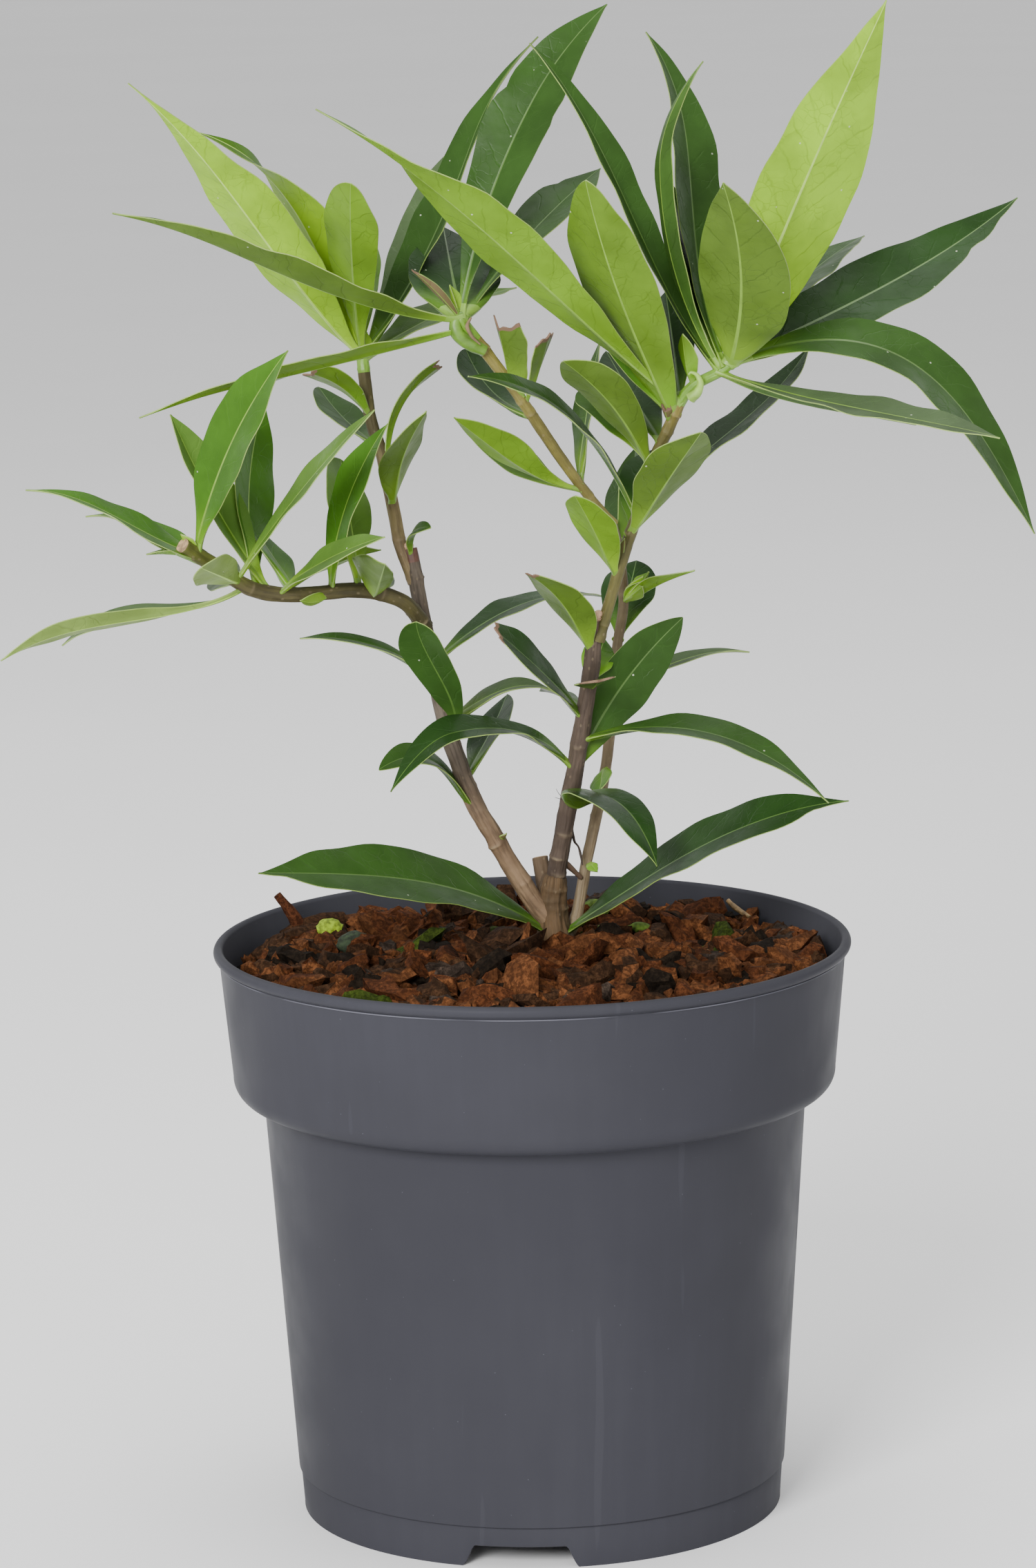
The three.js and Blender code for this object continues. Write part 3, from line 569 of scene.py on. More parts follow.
def leaf_finish(name, color, base, rough, veins, vein_color, gloss):
    """A waxy blade: side veins that arch towards the tip, fine netting, paler at its foot.

    The UV map holds the distance from the midrib and from the foot.
    """
    f = Finish(name, color, rough, Specular_IOR_Level=gloss)
    flat, where = f.place(uv=True), f.place()
    split = f.node("ShaderNodeSeparateXYZ", {0: flat})
    across, along = f.math("ABSOLUTE", split.outputs[0]), split.outputs[1]
    wander = f.times(f.noise(where, 75.0, 3.0, 0.6), 0.11)
    line = f.math("ADD", f.math("SUBTRACT", along, f.times(across, 1.15)), wander)
    from_vein = f.math("ABSOLUTE", f.math("SUBTRACT", f.math("FRACT", f.times(line, 11.0)), 0.5))
    broken = f.ramp(f.noise(where, 140.0, 2.0), 0.36, 0.6)
    vein = f.times(f.ramp(from_vein, 0.07, 0.0), broken)
    warp = f.node("ShaderNodeTexNoise", {"Vector": flat, "Scale": 14.0, "Detail": 2.0})
    bent = f.node("ShaderNodeVectorMath", {0: warp.outputs["Color"], 1: (0.06, 0.06, 0)},
                  operation="MULTIPLY").outputs[0]
    moved = f.node("ShaderNodeVectorMath", {0: flat, 1: bent}, operation="ADD").outputs[0]
    net = f.ramp(f.cells(moved, 30.0, "DISTANCE_TO_EDGE"), 0.05, 0.0)
    net = f.times(net, f.ramp(f.noise(where, 90.0, 2.0), 0.38, 0.62))
    color = f.mottle(f.noise(where, 55.0, 3.0, 0.6), 0.3, 0.7, 0.84, 1.16)
    color = f.blend(f.times(net, 0.5 * veins), color, vein_color)
    color = f.blend(f.times(vein, 0.6 * veins), color, vein_color)
    color = f.blend(f.ramp(along, 0.17, 0.02, 0.0, 0.8), color, base)
    speck = f.ramp(f.cells(where, 130.0), 0.045, 0.03)
    color = f.blend(f.times(speck, 0.6), color, SPECK_COLOR)
    raised = f.math("ADD", f.times(vein, 0.5), f.times(net, 0.3))
    grain = f.bump(f.noise(where, 700.0, 3.0), 0.05, 0.4)
    swell = f.bump(f.noise(where, 160.0, 2.0), 0.5, 0.35, grain)
    shine = f.ramp(f.noise(where, 120.0, 3.0), 0.3, 0.7, rough - 0.06, rough + 0.08)
    return f.wear(Base_Color=color, Roughness=shine, Normal=f.bump(raised, -0.16, 0.8, swell))


def plain_finish(name, color, rough, spread=0.12, scale=200.0):
    """A small part's finish: its colour varies gently, over a fine grain."""
    f = Finish(name, color, rough)
    where = f.place()
    color = f.mottle(f.noise(where, scale, 3.0), 0.3, 0.7, 1 - spread, 1 + spread)
    return f.wear(Base_Color=color, Normal=f.bump(f.noise(where, 5 * scale, 3.0), 0.05, 0.5))


def plain_finishes(*rows):
    """A plain finish for each row: name, colour, roughness, spread and scale."""
    return [plain_finish(*row) for row in rows]


# Upper face, underside, foot, and how rough the upper face is.
LOOKS = {
    # deep is the darkest green: the own colour of dark glossy leaves, and on leaves at the back
    # also painted shade.
    "deep": ((0.016, 0.043, 0.009), (0.050, 0.115, 0.014), (0.09, 0.19, 0.018), 0.32),
    "mature": ((0.028, 0.069, 0.012), (0.040, 0.092, 0.014), (0.11, 0.22, 0.020), 0.34),
    "fresh": ((0.048, 0.132, 0.011), (0.095, 0.182, 0.012), (0.16, 0.34, 0.020), 0.36),
    "olive": ((0.030, 0.078, 0.008), (0.080, 0.143, 0.017), (0.18, 0.32, 0.022), 0.40),
    # lime and young: undersides in their own paler green, made brighter still as painted light
    # shining through the blade.
    "lime": ((0.080, 0.165, 0.024), (0.124, 0.242, 0.012), (0.24, 0.41, 0.024), 0.42),
    "young": ((0.050, 0.120, 0.009), (0.235, 0.430, 0.014), (0.28, 0.46, 0.030), 0.34),
    "brown": ((0.085, 0.062, 0.028), (0.130, 0.095, 0.045), (0.10, 0.09, 0.030), 0.50),
    # pale: its upper face is a greyed green that stands in for gloss, a painted sheen.
    "pale": ((0.056, 0.092, 0.036), (0.185, 0.280, 0.060), (0.18, 0.29, 0.045), 0.40),
}
FINISHES = {}


def leaf_finishes():
    """Upper and lower finish of each look, then the midribs, margin and dried edge."""
    if "leaves" not in FINISHES:
        made = []
        for look, (upper, under, base, rough) in LOOKS.items():
            made.append(leaf_finish(f"{look}_leaf_upper", upper, base, rough, 0.3,
                                    tinted(upper, 1.5), 0.1))
            made.append(leaf_finish(f"{look}_leaf_under", under, base, rough + 0.06, 0.8,
                                    tinted(under, 0.6), 0.16))
        FINISHES["leaves"] = made + plain_finishes(
            ("leaf_midrib", (0.17, 0.30, 0.035), 0.45),
            ("leaf_midrib_dark", (0.062, 0.130, 0.020), 0.4),
            ("leaf_midrib_pale", (0.36, 0.56, 0.085), 0.4),
            ("leaf_margin", (0.24, 0.34, 0.08), 0.5),
            ("dried_edge", (0.17, 0.10, 0.06), 0.8))
    return FINISHES["leaves"]


LOOK_NUMBER = {look: 2 * i for i, look in enumerate(LOOKS)}
MIDRIB, MIDRIB_DARK, MIDRIB_PALE, MARGIN, DRIED = (2 * len(LOOKS) + i for i in range(5))
# Finish of the midrib above and below; other looks have the plain one on both sides.
RIBS = {"deep": (MIDRIB_DARK, MIDRIB), "mature": (MIDRIB_DARK, MIDRIB),
        "young": (MIDRIB_PALE, MIDRIB_PALE), "pale": (MIDRIB, MIDRIB_PALE)}

# ---- Settings ----


def a_length(name, description, default):
    """A setting that is a length."""
    return FloatProperty(name=name, description=description, default=default, unit="LENGTH")


def a_number(name, description, default, low, high):
    """A setting that is a whole number."""
    return IntProperty(name=name, description=description, default=default, min=low, max=high)


def a_color(name, description, default):
    """A setting that is a colour."""
    return FloatVectorProperty(name=name, description=description, default=default, size=3,
                               subtype="COLOR", min=0, max=1)


class PotSettings(bpy.types.PropertyGroup):
    color: a_color("Plastic", "Colour of the pot", (0.0405, 0.0405, 0.0485))
    rim_radius: a_length("Rim radius", "From the axis to the outside of the rim's bead",
                         POT_HIGH.x)
    height: a_length("Height", "From the ground to the top of the rim", POT_HIGH.z)
    sides: a_number("Sides", "Facets round the pot", 240, 48, 720)


class BarkSettings(bpy.types.PropertyGroup):
    chips: a_number("Chips", "How many chips of bark cover the pot", 1250, 100, 4000)
    size: a_length("Chip size", "Middle length of a chip", 0.0108)
    color: a_color("Russet", "Colour of most of the chips", (0.118, 0.040, 0.015))


class WoodSettings(bpy.types.PropertyGroup):
    sides: a_number("Sides", "Facets round a stem", 72, 16, 200)
    step: a_length("Step", "Length of one ring of facets", 0.0006)
    relief: a_length("Relief", "Depth of the bark's fissures", 0.00022)


class LeafSettings(bpy.types.PropertyGroup):
    rows: a_number("Rows", "Facets along a leaf", 44, 8, 120)
    columns: a_number("Columns", "Facets on each side of the midrib", 8, 3, 20)
    thickness: a_length("Thickness", "Thickness of a blade between its veins", 0.0005)


class StageSettings(bpy.types.PropertyGroup):
    floor_color: a_color("Floor", "Colour of the floor", (0.92, 0.92, 0.92))
    key_power: FloatProperty(
        name="Key light", description="Power of the main soft light", default=25.0, min=0,
        unit="POWER")
    focal_length: FloatProperty(
        name="Focal length", description="Lens of the camera in millimetres",
        default=137.9, min=1)


GROUPS = {"daphne_pot": PotSettings, "daphne_bark": BarkSettings, "daphne_wood": WoodSettings,
          "daphne_leaf": LeafSettings, "daphne_stage": StageSettings}

# ---- Pot ----

# The pot's own measures, as in the solids: radii, unless they are called heights.
BEAD, WALL, FILLET = 1.7, 1.3, 6
COLLAR_TOP, COLLAR_FOOT, COLLAR_HEIGHT = 93.3, 90, 127
WALL_TOP, WALL_BOTTOM = 81.3, 73.4
BAND_TOP, BAND = 72.8, 72
FLOOR_HEIGHT, PAD, PAD_SLOPE = 7.5, 22, 6
NOTCH = {"count": 3, "first": 264.4, "top": 26, "bottom": 34, "height": 6.3}
DRAIN = {"count": 6, "radius": 4.5, "ring": 50, "sides": 24}
# A thin ragged line of flash runs round under the bead: how far below its middle, how deep.
FLASH_DROP, FLASH_DEPTH = 2.25, 0.34


def arc(radius, z, size, start, end, steps):
    """Points on a circle of that size about (radius, z), from start to end in degrees."""
    a = np.radians(np.linspace(start, end, steps + 1))
    return [(radius + size * c, z + size * s) for c, s in zip(np.cos(a), np.sin(a))]


def notch_height(bearing):
    """Height of the skirt's lower edge: each notch is a ramp with rounded corners."""
    step = 360 / NOTCH["count"]
    off = (bearing - NOTCH["first"] + step / 2) % step - step / 2
    aside = np.abs(np.radians(off)) * BAND
    return NOTCH["height"] * ease(aside, NOTCH["bottom"] / 2 + 0.4, NOTCH["top"] / 2 + 0.3)


class DAPHNE_OT_pot(bpy.types.Operator):
    """Makes the pot: a profile carried round the axis, its skirt lifted over three notches"""

    bl_idname = "daphne.pot"
    bl_label = "Pot"

    def execute(self, context):
        settings = context.scene.daphne_pot
        rim, height = settings.rim_radius / MM, settings.height / MM
        bead_x, bead_z = rim - BEAD, height - BEAD
        fillet_at = COLLAR_FOOT - FILLET, COLLAR_HEIGHT + FILLET
        outside = [
            (BAND, 0), (BAND + 0.02, 1.2), (BAND_TOP - 0.03, 11.6), (BAND_TOP - 0.25, 12.1),
            (BAND_TOP - 0.2, 12.35), *arc(WALL_BOTTOM - 0.35, 12.75, 0.35, -80, 0, 4),
            (WALL_TOP - 0.25, COLLAR_HEIGHT - 0.6), (WALL_TOP + 0.2, COLLAR_HEIGHT),
            *arc(*fillet_at, FILLET, -90, 4, 12),
            (COLLAR_TOP - 0.12, bead_z - 3.1), (COLLAR_TOP + 0.02, bead_z - 2.5),
            (COLLAR_TOP + 0.34, bead_z - 2.4), (COLLAR_TOP + 0.36, bead_z - 2.1),
            (COLLAR_TOP + 0.04, bead_z - 2.0), *arc(bead_x, bead_z, BEAD, -62, 112, 14),
        ]
        inside = [
            (COLLAR_TOP - WALL, height - 1.0), *arc(*fillet_at, FILLET - WALL, 0, -90, 6),
            (WALL_TOP - WALL, COLLAR_HEIGHT + WALL - 1), (WALL_BOTTOM - WALL, FLOOR_HEIGHT + WALL),
            (PAD + PAD_SLOPE - WALL, FLOOR_HEIGHT + WALL), (PAD - WALL, WALL), (0.5, WALL),
        ]
        under = [
            (0.5, 0), (PAD - 1, 0), (PAD, 0.3), (PAD + PAD_SLOPE, FLOOR_HEIGHT),
            (BAND - WALL - 0.6, FLOOR_HEIGHT), (BAND - WALL, FLOOR_HEIGHT - 0.4),
            (BAND - WALL, 0),
        ]
        profile = np.array(under + outside + inside)
        step = 360 / NOTCH["count"]
        edges = np.arange(NOTCH["count"])[:, None] * step + NOTCH["first"]
        corner = np.degrees(np.array((NOTCH["top"] - 2, NOTCH["bottom"] + 2)) / 2 / BAND)
        fine = np.linspace(*corner, 16)
        bearings = np.concatenate([np.arange(settings.sides) * 360 / settings.sides,
                                   (edges + fine).ravel() % 360, (edges - fine).ravel() % 360])
        bearings = np.unique(np.round(bearings, 3))
        r, z = profile[:, 0][:, None], profile[:, 1][:, None]
        lift = notch_height(bearings)[None, :]
        first, last = len(under) - 1, len(under) + 2
        rows = np.arange(len(profile))[:, None]
        skirt = (rows >= first) & (rows < last)
        z = np.where(skirt, np.maximum(z, lift + 0.12 * (rows - first) * (lift > 0.1)), z)
        ragged = noise(bearings / 6, bearings * 0, 60, 3)[None, :] * 0.5 + 0.5
        flash = (np.abs(profile[:, 1] - (bead_z - FLASH_DROP)) < 0.2)[:, None] & (rows > last)
        r = r - np.where(flash, FLASH_DEPTH * (1 - ragged), 0)
        a = np.radians(bearings)[None, :]
        points = np.stack([r * np.cos(a), r * np.sin(a), z + 0 * a], -1)
        scuff = np.where(flash, 0.75 * ease(ragged, 0.35, 0.8), 0) + 0 * points[..., 0]
        shape = Shape()
        add_tube(shape, points, 0, mark=scuff)
        piece = shape.make("pot_shell", [pot_finish(settings)], crease=40)
        self.drill(piece)
        fit(piece, "pot", "pot")
        return {"FINISHED"}

    def drill(self, piece):
        """Cuts the drain holes with one joined set of short cylinders."""
        count, sides = DRAIN["count"], DRAIN["sides"]
        a = np.linspace(0, 2 * pi, sides, endpoint=False)
        bearing = 2 * pi * np.arange(count)[:, None, None] / count
        z = np.array((FLOOR_HEIGHT - 1, FLOOR_HEIGHT + WALL + 1))[None, :, None] + 0 * a
        x = DRAIN["ring"] * np.cos(bearing) + DRAIN["radius"] * np.cos(a) + 0 * z
        y = DRAIN["ring"] * np.sin(bearing) + DRAIN["radius"] * np.sin(a) + 0 * z
        pins = Shape()
        for pin in np.stack([x, y, z + 0 * x], -1):
            add_tube(pins, pin, 0)
        tool = pins.make("drain_pins", [])
        cut = piece.modifiers.new("drain", "BOOLEAN")
        cut.operation, cut.object, cut.solver = "DIFFERENCE", tool, "EXACT"
        bpy.context.view_layer.update()
        graph = bpy.context.evaluated_depsgraph_get()
        drilled = bpy.data.meshes.new_from_object(piece.evaluated_get(graph))
        piece.modifiers.clear()
        piece.data = drilled
        bpy.data.objects.remove(tool)


# ---- Bark in the pot ----

MOUND = {"edge_z": 161.5, "middle_z": 165.5, "radius": 90.6}
FOOT = np.array((8, 14))  # Where the trunk stands
CLEARANCE = 7.4  # From the trunk's axis to the nearest chip
DEEPEST = 5.0  # Greatest thickness of a chip
CORNERS = 10  # Corners of each ring of a chip
# Height of each ring as a share of the chip's depth, and the least and most it is drawn in.
LEVELS = ((-0.42, (0.6, 0.9)), (0.0, (0.92, 1.1)), (0.42, (0.5, 0.9)))
# Share of the chips that take each finish: first the settings' russet, then those of CHIPS.
CHIP_SHARES = (0.40, 0.12, 0.30, 0.10, 0.06, 0.02)
CHIPS = (("bark_light_russet", (0.170, 0.064, 0.024)), ("bark_brown", (0.064, 0.031, 0.015)),
         ("bark_dark", (0.020, 0.013, 0.008)), ("bark_grey", (0.062, 0.043, 0.032)),
         ("bark_moss", (0.050, 0.075, 0.010)))
LOGS = (("log_brown", (0.060, 0.028, 0.013)), ("log_red", (0.105, 0.036, 0.016)))
BITS = (("moss_lime", (0.17, 0.25, 0.005), 0.9, 0.5, 700.0),
        ("moss_green", (0.075, 0.13, 0.012), 0.9, 0.5, 500.0),
        ("moss_dark", (0.018, 0.030, 0.012), 0.9, 0.6, 700.0),
        ("pebble", (0.20, 0.19, 0.17), 0.8, 0.2, 500.0),
        ("root_tan", (0.22, 0.14, 0.06), 0.7, 0.4, 500.0))


def mound_height(x, y):
    """Height of the bark's surface: a low mound that falls with the square of the radius."""
    spread = np.hypot(x, y) / COLLAR_TOP
    return MOUND["middle_z"] + (MOUND["edge_z"] - MOUND["middle_z"]) * spread**2


# Number of the finish among LOGS and BITS, radii and guide points of the logs, tufts of moss,
# pebble and roots on the bark.
LITTER = (
    (0, (2.5, 4, 4.2, 3.6, 2.6), (-76, 41, 165), (-66.5, 44, 167.4), (-57, 48, 169)),
    (0, (3, 4.6, 5, 4.6, 3), (-84, 21, 162), (-71.4, 32, 165.4), (-57, 39, 166.8)),
    (1, (2.4, 2.2, 1.7, 1.2), (-69, 44, 164), (-71.5, 42, 170), (-74.5, 42, 174.8),
     (-77.4, 42, 178.6)),
    (2, (2.4, 3.7, 3.7, 2.6), (-65, 32, 168.4), (-61.5, 32.4, 169), (-57.6, 32, 168.4)),
    (4, (2.6, 4.2, 4.4, 2.8), (-58.5, 21, 164.4), (-54.5, 23, 166), (-49.8, 25, 167)),
    (3, (1.6, 2.8, 2.6, 1.4), (18.4, 19, 168.8), (22, 18.4, 169.4), (26.4, 17, 168)),
    (3, (0.8, 1.7, 1.5, 0.7), (29, 26, 169.4), (33.4, 24.6, 169.8), (37.6, 24, 168.4)),
    (3, (1.5, 3, 3, 1.6), (14, 44, 169), (19, 41, 172.4), (22.6, 38, 172.6)),
    (2, (0.3, 0.9, 0.9, 0.3), (-36.6, 33, 170), (-36, 32, 168.4), (-35.2, 31, 166.4)),
    (5, (0.6, 1.7, 1.7, 0.6), (25.2, 52, 168.8), (27.1, 51, 169.4), (29, 52, 168.8)),
    (6, (0.7, 0.9, 0.8, 0.6), (60.6, 60, 170.4), (62.6, 58, 168.6), (67, 52, 166.6)),
    (6, (0.3, 0.9, 0.8, 0.5), (52.3, -4, 168.8), (51.6, -4, 167), (51.2, -4, 164.6)),
)


class DAPHNE_OT_bark(bpy.types.Operator):
    """Strews the pot with chips of bark: each three rings of corners between two middles"""

    bl_idname = "daphne.bark"
    bl_label = "Bark chips"

    def execute(self, context):
        settings = context.scene.daphne_bark
        rng = np.random.default_rng(SEED)
        count = settings.chips
        length = settings.size / MM * np.exp(rng.normal(0, 0.36, count))
        breadth = length * rng.uniform(0.38, 0.8, count)
        depth = np.minimum(length * rng.uniform(0.2, 0.6, count), DEEPEST)
        distance = np.sqrt(rng.uniform(0, 1, count)) * (MOUND["radius"] - 0.42 * length)
        place = self.scattered(distance, rng.uniform(0, 2 * pi, count), length)
        sunk = rng.uniform(-1.2, 2.4, count) + 0.1 * length
        local = self.chip_corners(rng, *(size[:, None] for size in (length, breadth, depth)))
        turn = rng.uniform(0, 2 * pi, count)
        tilt = np.clip(rng.normal(0, 0.5, count), -1.2, 1.2)
        roll = np.clip(rng.normal(0, 0.42, count), -1.0, 1.0)
        for angle, plane in ((tilt, (0, 2)), (roll, (1, 2)), (turn, (0, 1))):
            local = self.turned(local, angle, plane)
        height = mound_height(*place.T) + sunk
        points = local + np.append(place, height[:, None], 1)[:, None, :]
        wide = np.hypot(points[..., 0], points[..., 1])
        inside = np.minimum(1, (MOUND["radius"] + 0.6) / np.maximum(wide, 1))
        points[..., :2] *= inside[..., None]
        kinds = rng.choice(len(CHIP_SHARES), count, p=CHIP_SHARES)
        edges = np.where((rng.uniform(0, 1, count) < 0.45) & (kinds < 3), 1, kinds)
        shape = Shape()
        self.add_chips(shape, points, edges, kinds)
        finishes = [chip_finish("bark_russet", tuple(settings.color)),
                    *(chip_finish(*row) for row in CHIPS)]
        first = len(finishes)
        finishes += [*(chip_finish(*row) for row in LOGS), *plain_finishes(*BITS)]
        for number, radii, *guide in LITTER:
            add_strand(shape, first + number, radii, *guide)
        fit(shape.make("bark_chips", finishes, crease=38), "medium")
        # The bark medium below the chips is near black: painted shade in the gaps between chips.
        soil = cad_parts["bark_medium"]
        soil.data.materials.clear()
        soil.data.materials.append(chip_finish("gap_shade_bark", (0.009, 0.006, 0.004)))
        return {"FINISHED"}

    def scattered(self, distance, bearing, length):
        """Places at distances and bearings, pushed out where they are too near the trunk."""
        place = np.stack([distance * np.cos(bearing), distance * np.sin(bearing)], 1)
        away = np.hypot(*(place - FOOT).T)
        clear = CLEARANCE + 0.5 * length
        push = np.where(away < clear, clear / np.maximum(away, 0.1), 1)
        return FOOT + (place - FOOT) * push[:, None]

    def chip_corners(self, rng, length, breadth, depth):
        """Corners of every chip about its own middle: three ragged ellipses, bent along x by
        its square, then a middle below them and one above."""
        count = len(length)
        spread = rng.normal(0, 0.12, (count, CORNERS))
        a = np.linspace(0, 2 * pi, CORNERS, endpoint=False) + spread
        ragged = rng.uniform(0.76, 1.16, (count, CORNERS))
        x = np.cos(a) * ragged * length / 2
        y = np.sin(a) * ragged * breadth / 2
        bend = rng.normal(0, 0.16, (count, 1)) * x**2 / length
        rings = []
        for level, shrink in LEVELS:
            inset = rng.uniform(*shrink, (count, CORNERS))
            lump = rng.normal(0, 0.15, (count, CORNERS)) * depth
            rings.append(np.stack([x * inset, y * inset, bend + level * depth + lump], -1))
        middle = rng.normal(0, 0.12, (count, 2)) * length
        crown = rng.uniform(0.35, 0.75, (count, 2)) * depth
        ends = np.stack([middle, 0 * middle, crown * np.array((-1, 1))], -1)
        return np.concatenate([*rings, ends], 1)

    def add_chips(self, shape, points, edges, kinds):
        """Skins over the chips' corners: a wall of one finish, and faces of another."""
        j = np.arange(CORNERS)
        k = (j + 1) % CORNERS
        wall = grid_faces(len(LEVELS), CORNERS, closed=True)
        fans = np.concatenate([np.stack([k, j, np.full(CORNERS, 3 * CORNERS)], 1),
                               np.stack([j + 2 * CORNERS, k + 2 * CORNERS,
                                         np.full(CORNERS, 3 * CORNERS + 1)], 1)])
        start = np.arange(len(points))[:, None, None] * points.shape[1]
        shape.add(points, (wall + start).reshape(-1, 4), np.repeat(edges, len(wall)))
        shape.cover((fans + start).reshape(-1, 3), np.repeat(kinds, len(fans)))

    def turned(self, points, angle, plane):
        """Each chip's points turned by its own angle in the plane of two axes."""
        i, j = plane
        c, s = np.cos(angle)[:, None], np.sin(angle)[:, None]
        out = points.copy()
        out[..., i] = points[..., i] * c - points[..., j] * s
        out[..., j] = points[..., i] * s + points[..., j] * c
        return out


# ---- Stems ----

# Two colours that mix in patches, strength of the streaks, roughness, and for some the change
# with height in metres.
WOODS = {
    "trunk": ((0.066, 0.041, 0.019), (0.110, 0.066, 0.030), 1, 0.75),
    "cut_stub": ((0.100, 0.066, 0.038), (0.140, 0.090, 0.050), 0.7, 0.75),
    "centre_stem": ((0.058, 0.040, 0.029), (0.085, 0.060, 0.043), 0.7, 0.72),
    "left_stem": ((0.170, 0.108, 0.062), (0.250, 0.165, 0.095), 1, 0.7,
                  (0.200, 0.228, (0.47, 0.56, 0.72))),
    "rear_stem": ((0.165, 0.118, 0.066), (0.225, 0.170, 0.095), 0.6, 0.6,
                  (0.232, 0.265, (0.5, 0.5, 0.45))),
    "left_crown": ((0.150, 0.105, 0.055), (0.220, 0.165, 0.075), 0.8, 0.68,
                   (0.305, 0.325, (0.4, 0.45, 0.35))),
    "middle_crown": ((0.150, 0.125, 0.032), (0.225, 0.190, 0.046), 0.5, 0.55),
    "right_crown": ((0.079, 0.071, 0.021), (0.119, 0.104, 0.030), 0.5, 0.55,
                    (0.318, 0.334, (1.9, 1.75, 1.4))),
    "side_crown": ((0.058, 0.047, 0.019), (0.090, 0.076, 0.026), 0.8, 0.62,
                   (0.282, 0.288, (1.35, 1.75, 0.85))),
}

# Share of the length, side in degrees, and size in millimetres of the scars where leaves fell.
SCARS = {
    "trunk": [(0.93, 250, 0.3), (0.8, 310, 0.25), (0.7, 205, 0.3)],
    "centre_stem": [(0.05, 230, 0.35), (0.11, 300, 0.3), (0.2, 255, 0.25), (0.53, 290, 0.2)],
    "left_stem": [(0.12, 230, 0.25), (0.24, 300, 0.4), (0.4, 200, 0.2), (0.93, 200, 0.4)],
    "rear_stem": [(0.06, 270, 0.3), (0.3, 300, 0.25), (0.82, 260, 0.3)],
    "left_crown": [(0.2, 260, 0.2), (0.95, 280, 0.3)],
    "middle_crown": [(0.15, 250, 0.25), (0.56, 260, 0.3), (0.62, 300, 0.25), (0.86, 250, 0.5)],
    "right_crown": [(0.06, 260, 0.3), (0.36, 300, 0.25), (0.7, 260, 0.35), (0.76, 250, 0.5)],
    "side_crown": [(0.05, 260, 0.5), (0.1, 80, 0.3), (0.24, 250, 0.2), (0.7, 260, 0.15)],
    "cut_stub": [],
}
# Share of the length from which a limb takes its third finish: fresh green, or red by a cut.
TURNS = {"right_crown": 0.79, "middle_crown": 0.9, "left_crown": 0.93, "centre_stem": 0.955,
         "left_stem": 0.965}
FISSURES, GRAINS, LUMPS = 16, 44, 3  # How many of each go round a limb
FLARE = (1.6, 7.0, 3.0)  # The trunk's foot: how much wider, up to where, and its fading
BASE = (0.45, 1.8)  # The same swelling where a stem leaves another, from its own radius up
# Sizes of the rings that close a tip, and how high they stand on a cut end.
CAP = np.array((0.93, 0.8, 0.5, 0.2, 0.02))
CUT_RISE = np.array((0.12, -0.1, -0.14, -0.1, -0.1))
CUT_LIMBS = ("cut_stub", "centre_stem", "left_stem", "side_crown")
# How deep the bark's relief is on each stem, as a part of the settings' relief.
STEMS = {"trunk": 2.2, "cut_stub": 1.2, "centre_stem": 1.2, "left_stem": 1.0, "rear_stem": 0.7}
CROWN_RELIEF = 0.7
STRAND_SIDES = 14


def bell(x, width):
    """1 where x is 0, falling away on both sides."""
    return np.exp(-((x / width) ** 2))


def ring_at(centre, side, out, radius, a):
    """Points about each centre: centre + side * radius * cos a + out * radius * sin a."""
    return (centre[:, None] + side[:, None] * (radius * np.cos(a))[..., None]
            + out[:, None] * (radius * np.sin(a))[..., None])


